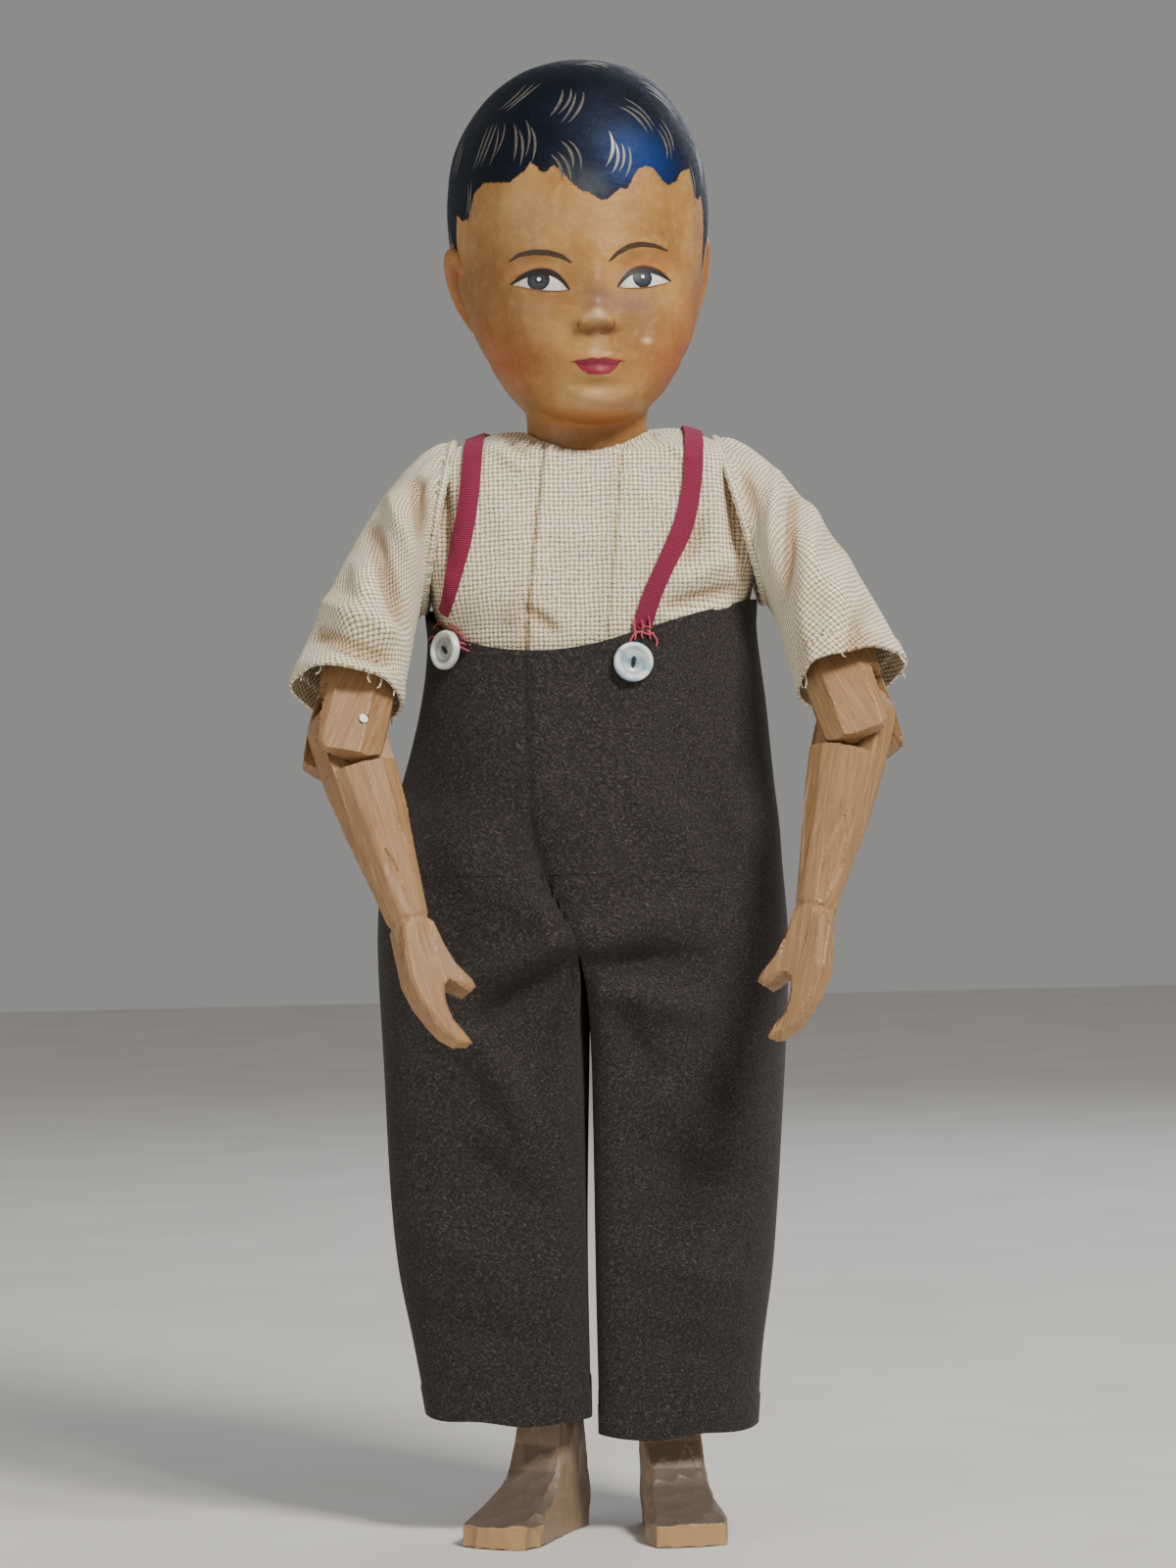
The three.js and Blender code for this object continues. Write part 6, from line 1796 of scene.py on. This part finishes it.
# A button: its radius and thickness, the turned steps of its face as (inset, rise), and its edges' rounding
BUTTON_RADIUS = 5.3
BUTTON_THICKNESS = 1.4
BUTTON_STEPS = [(0.4, 0.6), (0.7, 0.0), (0.6, -0.8), (1.1, 0.0), (0.4, -0.3)]
BUTTON_ROUNDING = 0.22

# Half sizes and height of the fish-eye hollow between a button's holes, and of the thread ends in it
HOLLOW_HALF = (0.9, 2.2, 1.1)
HOLLOW_Z = 1.6
THREAD_HALF = (0.62, 1.5, 0.25)
THREAD_Z = 1.1


def button_seat(side_name):
    """The middle of a button's under side, and the turn that lays an upright button on the cloth."""
    points = points_of(frame["nodes"][f"button_{side_name}"])
    centre = points.mean(axis=0)
    _, _, axes = np.linalg.svd(points - centre)
    normal = Vector(axes[2])
    if normal.y > 0:
        normal = -normal
    lowest = float(((points - centre) @ np.array(normal)).min())
    turn = UP.rotation_difference(normal).to_matrix()
    return np.array(Vector(centre) + normal * lowest), np.array(turn)


def turned_disc(name):
    """A disc as it comes from the lathe, with a raised rim round its sunk face."""
    deselect()
    bpy.ops.mesh.primitive_cylinder_add(
        vertices=64, radius=BUTTON_RADIUS * MM, depth=BUTTON_THICKNESS * MM,
        location=UP * BUTTON_THICKNESS * MM / 2)
    disc = current(name)
    bpy.ops.object.transform_apply(location=True, rotation=True, scale=True)
    bpy.ops.object.mode_set(mode="EDIT")
    bpy.ops.mesh.select_mode(type="FACE")
    bpy.ops.mesh.select_all(action="DESELECT")
    bpy.ops.object.mode_set(mode="OBJECT")
    for face in disc.data.polygons:
        face.select = face.normal.z > 0.9
    bpy.ops.object.mode_set(mode="EDIT")
    for inset, rise in BUTTON_STEPS:
        bpy.ops.mesh.inset(thickness=inset * MM, depth=0)
        bpy.ops.transform.translate(value=UP * rise * MM)
    bpy.ops.object.mode_set(mode="OBJECT")
    apply_modifier(disc, "edge", "BEVEL", width=BUTTON_ROUNDING * MM, segments=3, limit_method="ANGLE",
                   angle_limit=math.radians(30))
    return disc


def build_button(side_name, material, thread):
    """A turned button with a fish-eye hollow, laid where the frame's button lies, and its thread."""
    base, turn = button_seat(side_name)
    button = turned_disc(f"pearl_button_{side_name}")
    hollow = unit_ball("fish_eye_cut", 32, 16)
    set_points(hollow, (points_of(hollow) * HOLLOW_HALF + (0, 0, HOLLOW_Z)) * MM)
    apply_modifier(button, "cut", "BOOLEAN", operation="DIFFERENCE", object=hollow, solver="EXACT")
    bpy.data.objects.remove(hollow)
    crisp_shading(button, BUTTON_CREASE)
    flat = points_of(button)
    set_attribute(button, "reach", np.hypot(flat[:, 0], flat[:, 1]) / (BUTTON_RADIUS * MM))
    set_points(button, flat @ turn.T + base)
    ride(button, "torso", material, [f"button_{side_name}"])
    # Thread ends fill the two holes, which show as one dark slot: the thread's own dark colour stands for the
    # shade in the holes too.
    ends = unit_ball(f"button_thread_and_hole_shade_{side_name}", 24, 12)
    unit = points_of(ends)
    unit[:, 0] *= 1 - 0.35 * hump(unit[:, 1] / 0.3)
    set_points(ends, (unit * THREAD_HALF + (0, 0, THREAD_Z)) * MM @ turn.T + base)
    shade_smooth(ends)
    ride(ends, "torso", thread)


# The tape's path over each shoulder: degrees up from the front round a line at chest height, and the
# distance across
BRACE_AXIS_Z = 262.0
BRACE_PATHS = {
    "right": [
        (-36, -39.4), (-10, -36.8), (25, -33.2), (55, -30.8), (90, -29.7), (120, -27), (150, -22),
        (180, -17), (206, -13.4),
    ],
    "left": [
        (-36, 13.3), (-20, 16.3), (0, 20.7), (25, 25.6), (50, 28.2), (90, 28.3), (120, 26), (150, 21),
        (180, 17), (206, 13.4),
    ],
}
TAPE_WIDTH = 5.0
TAPE_THICKNESS = 0.8
TAPE_GAP = 0.35
TAPE_COLUMNS = 8
# About how far the tape lies from the chest line
TAPE_REACH = 27


def outer_distance(tree, x, turn):
    """How far the cloth's outside lies from the chest line, looking out at a turn."""
    ray = Vector((0, -math.cos(turn), math.sin(turn)))
    start = Vector((x, 0, BRACE_AXIS_Z))
    hit = tree.ray_cast(start + ray * 70, -ray)[0]
    return TAPE_REACH - 1.0 if hit is None else (hit - start).length


def bridged(reach):
    """How far a tape lies from the chest line: it bridges hollows that are shorter than about 6 mm."""
    kernel = hump(np.linspace(-1.6, 1.6, 25))
    padded = np.pad(reach, ((12, 12), (0, 0)), mode="edge")
    spanned = [np.convolve(column, kernel / kernel.sum(), "valid") for column in padded.T]
    return np.maximum(np.stack(spanned, axis=1), reach + 0.05)


def build_brace(side_name, shirt, material):
    """Tape drawn over the shirt: it spans the small folds and narrows where it is sewn on."""
    tree = surface_of(shirt)
    path = BRACE_PATHS[side_name]
    first, last = path[0][0], path[-1][0]

    def place(around, up):
        turns = first + (last - first) * up
        middle = values_at(path, turns)[0]
        ahead, behind = values_at(path, turns + 2)[0], values_at(path, turns - 2)[0]
        slant = (ahead - behind) / (math.radians(4) * TAPE_REACH)
        narrow = 1 - (0.55 * smooth(0.22, 0.0, up) if side_name == "right" else 0.0)
        offset = (around - 0.5) * TAPE_WIDTH * narrow / np.sqrt(1 + slant**2)
        x = middle + offset
        turn = np.radians(turns) - offset * slant / TAPE_REACH
        reach = np.array([outer_distance(tree, a, b) for a, b in zip(x, turn)])
        reach = bridged(reach.reshape(-1, TAPE_COLUMNS + 1)).ravel() + TAPE_GAP
        return np.stack([x, -np.cos(turn) * reach, BRACE_AXIS_Z + np.sin(turn) * reach], axis=1)

    piece = wrapped_grid(f"tape_brace_{side_name}", TAPE_COLUMNS, 260, place)
    sew(piece)
    point_outward(piece)
    thicken(piece, TAPE_THICKNESS, 1.0)
    crisp_shading(piece, CLOTH_CREASE)
    ride(piece, "torso", material, [f"brace_{side_name}"])
    return piece


def point_outward(piece):
    """Turns a strip's faces away from the chest line."""
    points, normals = to_doll(points_of(piece)), normals_of(piece)
    out = points - np.array([0, 0, BRACE_AXIS_Z])
    out[:, 0] = 0
    if (normals * out).sum() < 0:
        edit_all(piece, FLIP)


# Loose threads at the sewn ends: lines of across, height and how far they stand off the cloth
BRACE_THREADS = {
    "right": [
        [(-39.2, 246, 0.2), (-40.4, 243.5, 0.7), (-42.4, 241.8, 0.9), (-43.6, 240.9, 0.6)],
        [(-39.6, 245.4, 0.2), (-41.4, 243.6, 0.9), (-42.6, 243.6, 0.9), (-43.8, 242.6, 0.5)],
        [(-39.4, 245, 0.3), (-41.0, 242.4, 0.8), (-42.4, 240.6, 0.8), (-42.8, 238.6, 0.4)],
        [(-39.0, 246, 0.2), (-38.0, 243.6, 0.8), (-36.0, 242.0, 0.9), (-33.4, 240.8, 0.5)],
        [(-39.0, 245, 0.3), (-37.6, 242.8, 0.9), (-35.4, 240.6, 0.8), (-32.6, 238.9, 0.4)],
        [(-38.8, 245.4, 0.2), (-37.0, 243.8, 0.8), (-34.6, 243.0, 0.9), (-32.2, 240.4, 0.5)],
        [(-39.6, 247, 0.3), (-40.8, 246.2, 0.8), (-41.6, 246.4, 0.8), (-42.4, 245.4, 0.4)],
        [(-38.6, 247, 0.3), (-37.0, 246.0, 0.8), (-35.4, 244.2, 0.7), (-34.0, 243.2, 0.4)],
        [(-39.2, 245, 0.4), (-39.4, 242.6, 1.0), (-38.8, 240.8, 0.8), (-39.4, 239.2, 0.3)],
        [(-40.0, 244, 0.4), (-38.6, 243.0, 1.1), (-37.2, 243.2, 0.9), (-36.4, 241.2, 0.4)],
    ],
    "left": [
        [(11.4, 247, 1.1), (11.3, 244.5, 1.3), (11.6, 242.4, 0.9), (11.2, 240.6, 0.3)],
        [(15.2, 247.4, 1.1), (15.4, 245, 1.3), (15.2, 242.6, 0.9), (15.6, 240.8, 0.3)],
        [(10.8, 244.3, 1.0), (12.4, 244.0, 1.4), (14.2, 244.4, 1.4), (16.0, 243.9, 0.9)],
        [(13.2, 246.4, 1.2), (13.6, 244.4, 1.4), (13.1, 242.6, 0.9), (13.5, 241.0, 0.3)],
        [(11.0, 242.6, 0.8), (13.0, 242.9, 1.0), (15.0, 242.3, 1.0), (16.6, 242.7, 0.5)],
        [(14.4, 243.4, 0.8), (16.2, 242.2, 0.9), (17.2, 240.4, 0.7), (16.8, 238.8, 0.3)],
        [(12.2, 243.2, 0.8), (10.8, 241.8, 0.9), (10.0, 240.2, 0.6), (10.4, 239.2, 0.3)],
    ],
}

# Half the thickness of the braces' sewing thread
THREAD_RADIUS = 0.24


def thread_tube(name, line, radius):
    """A spun thread along a line of places, pointed at both ends."""
    line = np.array(line, float)
    spread = np.linspace(0, 1, len(line))
    rows = np.column_stack([spread, line])

    def place(around, up):
        centre = values_at(rows, up).T
        ahead = values_at(rows, np.clip(up + 0.02, 0, 1)).T - values_at(rows, np.clip(up - 0.02, 0, 1)).T
        ahead /= np.linalg.norm(ahead, axis=1)[:, None]
        beside = np.cross(ahead, np.array([0.0, 1.0, 0.15]))
        beside /= np.linalg.norm(beside, axis=1)[:, None]
        over = np.cross(beside, ahead)
        width = radius * np.clip(np.minimum(up, 1 - up) * 14, 0, 1) ** 0.5
        turn = around * 2 * math.pi
        return centre + (beside * np.cos(turn)[:, None] + over * np.sin(turn)[:, None]) * width[:, None]

    return wrapped_grid(name, 8, 24, place)


def close_tubes(threads):
    edit_all(threads, WELD, FACE_ONE_WAY)
    shade_smooth(threads)


def build_threads(side_name, cloths, material):
    """The braces' loose threads, which lie on whatever cloth is under them."""
    trees = [surface_of(cloth) for cloth in cloths]
    pieces = []
    for k, line in enumerate(BRACE_THREADS[side_name]):
        places = []
        for x, z, off in line:
            hits = [tree.ray_cast(Vector((x, IN_FRONT, z)), BACKWARD) for tree in trees]
            place, normal, _, _ = min((hit for hit in hits if hit[0] is not None), key=lambda hit: hit[0].y)
            places.append(tuple(place + normal * (0.2 + 0.5 * off)))
        pieces.append(thread_tube(f"thread_{side_name}_{k}", places, THREAD_RADIUS))
    threads = join(pieces, f"loose_threads_{side_name}")
    close_tubes(threads)
    ride(threads, "torso", material)


# Camera, light and floor

# The camera looks at the doll's front from chest height, with a slight roll.
CAMERA_PLACE = (-0.0035, -1.202, 0.2027)
CAMERA_ROLL = math.atan(0.0235)
VIEW_ANGLE = math.radians(20)
SENSOR_WIDTH = 36

# Each light: its place, what it shines at, its size, power and colour
LIGHTS = {
    "key": ((0.62, -0.85, 1.2), (0, 0, 0.24), 0.34, 27, "#FFFBF4"),
    "fill": ((-1.2, -0.7, 0.45), (0, 0, 0.2), 0.9, 5, "#FFF6EC"),
    "back": ((0.4, 1.1, 0.9), (0, 0, 0.2), 0.8, 5, "#F1F5FF"),
}


def add_camera():
    data = bpy.data.cameras.new("camera")
    data.sensor_width = SENSOR_WIDTH
    data.lens = SENSOR_WIDTH / 2 / math.tan(VIEW_ANGLE / 2)
    data.clip_start, data.clip_end = 0.05, 20
    camera = bpy.data.objects.new("camera", data)
    bpy.context.scene.collection.objects.link(camera)
    camera.location = CAMERA_PLACE
    camera.rotation_euler = (math.radians(90), CAMERA_ROLL, 0)
    bpy.context.scene.camera = camera


def add_light(name, place, aim, size, power, colour):
    data = bpy.data.lights.new(name, "AREA")
    data.shape = "SQUARE"
    data.size = size
    data.energy = power
    data.color = linear(colour)[:3]
    light = bpy.data.objects.new(name, data)
    bpy.context.scene.collection.objects.link(light)
    light.location = place
    light.rotation_euler = (Vector(aim) - Vector(place)).to_track_quat("-Z", "Y").to_euler()


def add_stage():
    deselect()
    bpy.ops.mesh.primitive_plane_add(size=6)
    floor = current("floor")
    floor.data.materials.append(floor_paint())
    world = bpy.data.worlds.new("studio")
    bpy.context.scene.world = world
    world.use_nodes = True
    background = world.node_tree.nodes["Background"]
    background.inputs["Color"].default_value = linear("#E9E8E6")
    background.inputs["Strength"].default_value = 0.34
    for name, light in LIGHTS.items():
        add_light(name, *light)


add_camera()
add_stage()
cloth = linen()
felt = wool_felt("brown_wool_felt")
tape = crimson_tape()
dress_frame(pale_wood(), steel_wire())
build_head(painted_head())
shirt = build_shirt(cloth)
for side_name in SIDES:
    build_sleeve(side_name, cloth)
    build_armhole_seam(side_name, cloth)
    build_frays(side_name, cloth)
seat = build_trousers(felt)
build_limbs()
loose = crimson_thread()
for side_name in SIDES:
    brace = build_brace(side_name, shirt, tape)
    build_threads(side_name, [shirt, seat, brace], loose)
# Dark waxed thread for the buttons' holes, whose darkness is also painted shade in them.
hole_shade_thread = wool_felt("dark_waxed_thread_and_hole_shade")
build_button("right", shell_pearl("white_shell", "#DDE3DE", "#C6CFCD"), hole_shade_thread)
build_button("left", shell_pearl("blue_white_shell", "#CFE2EA", "#A9C6D6"), hole_shade_thread)
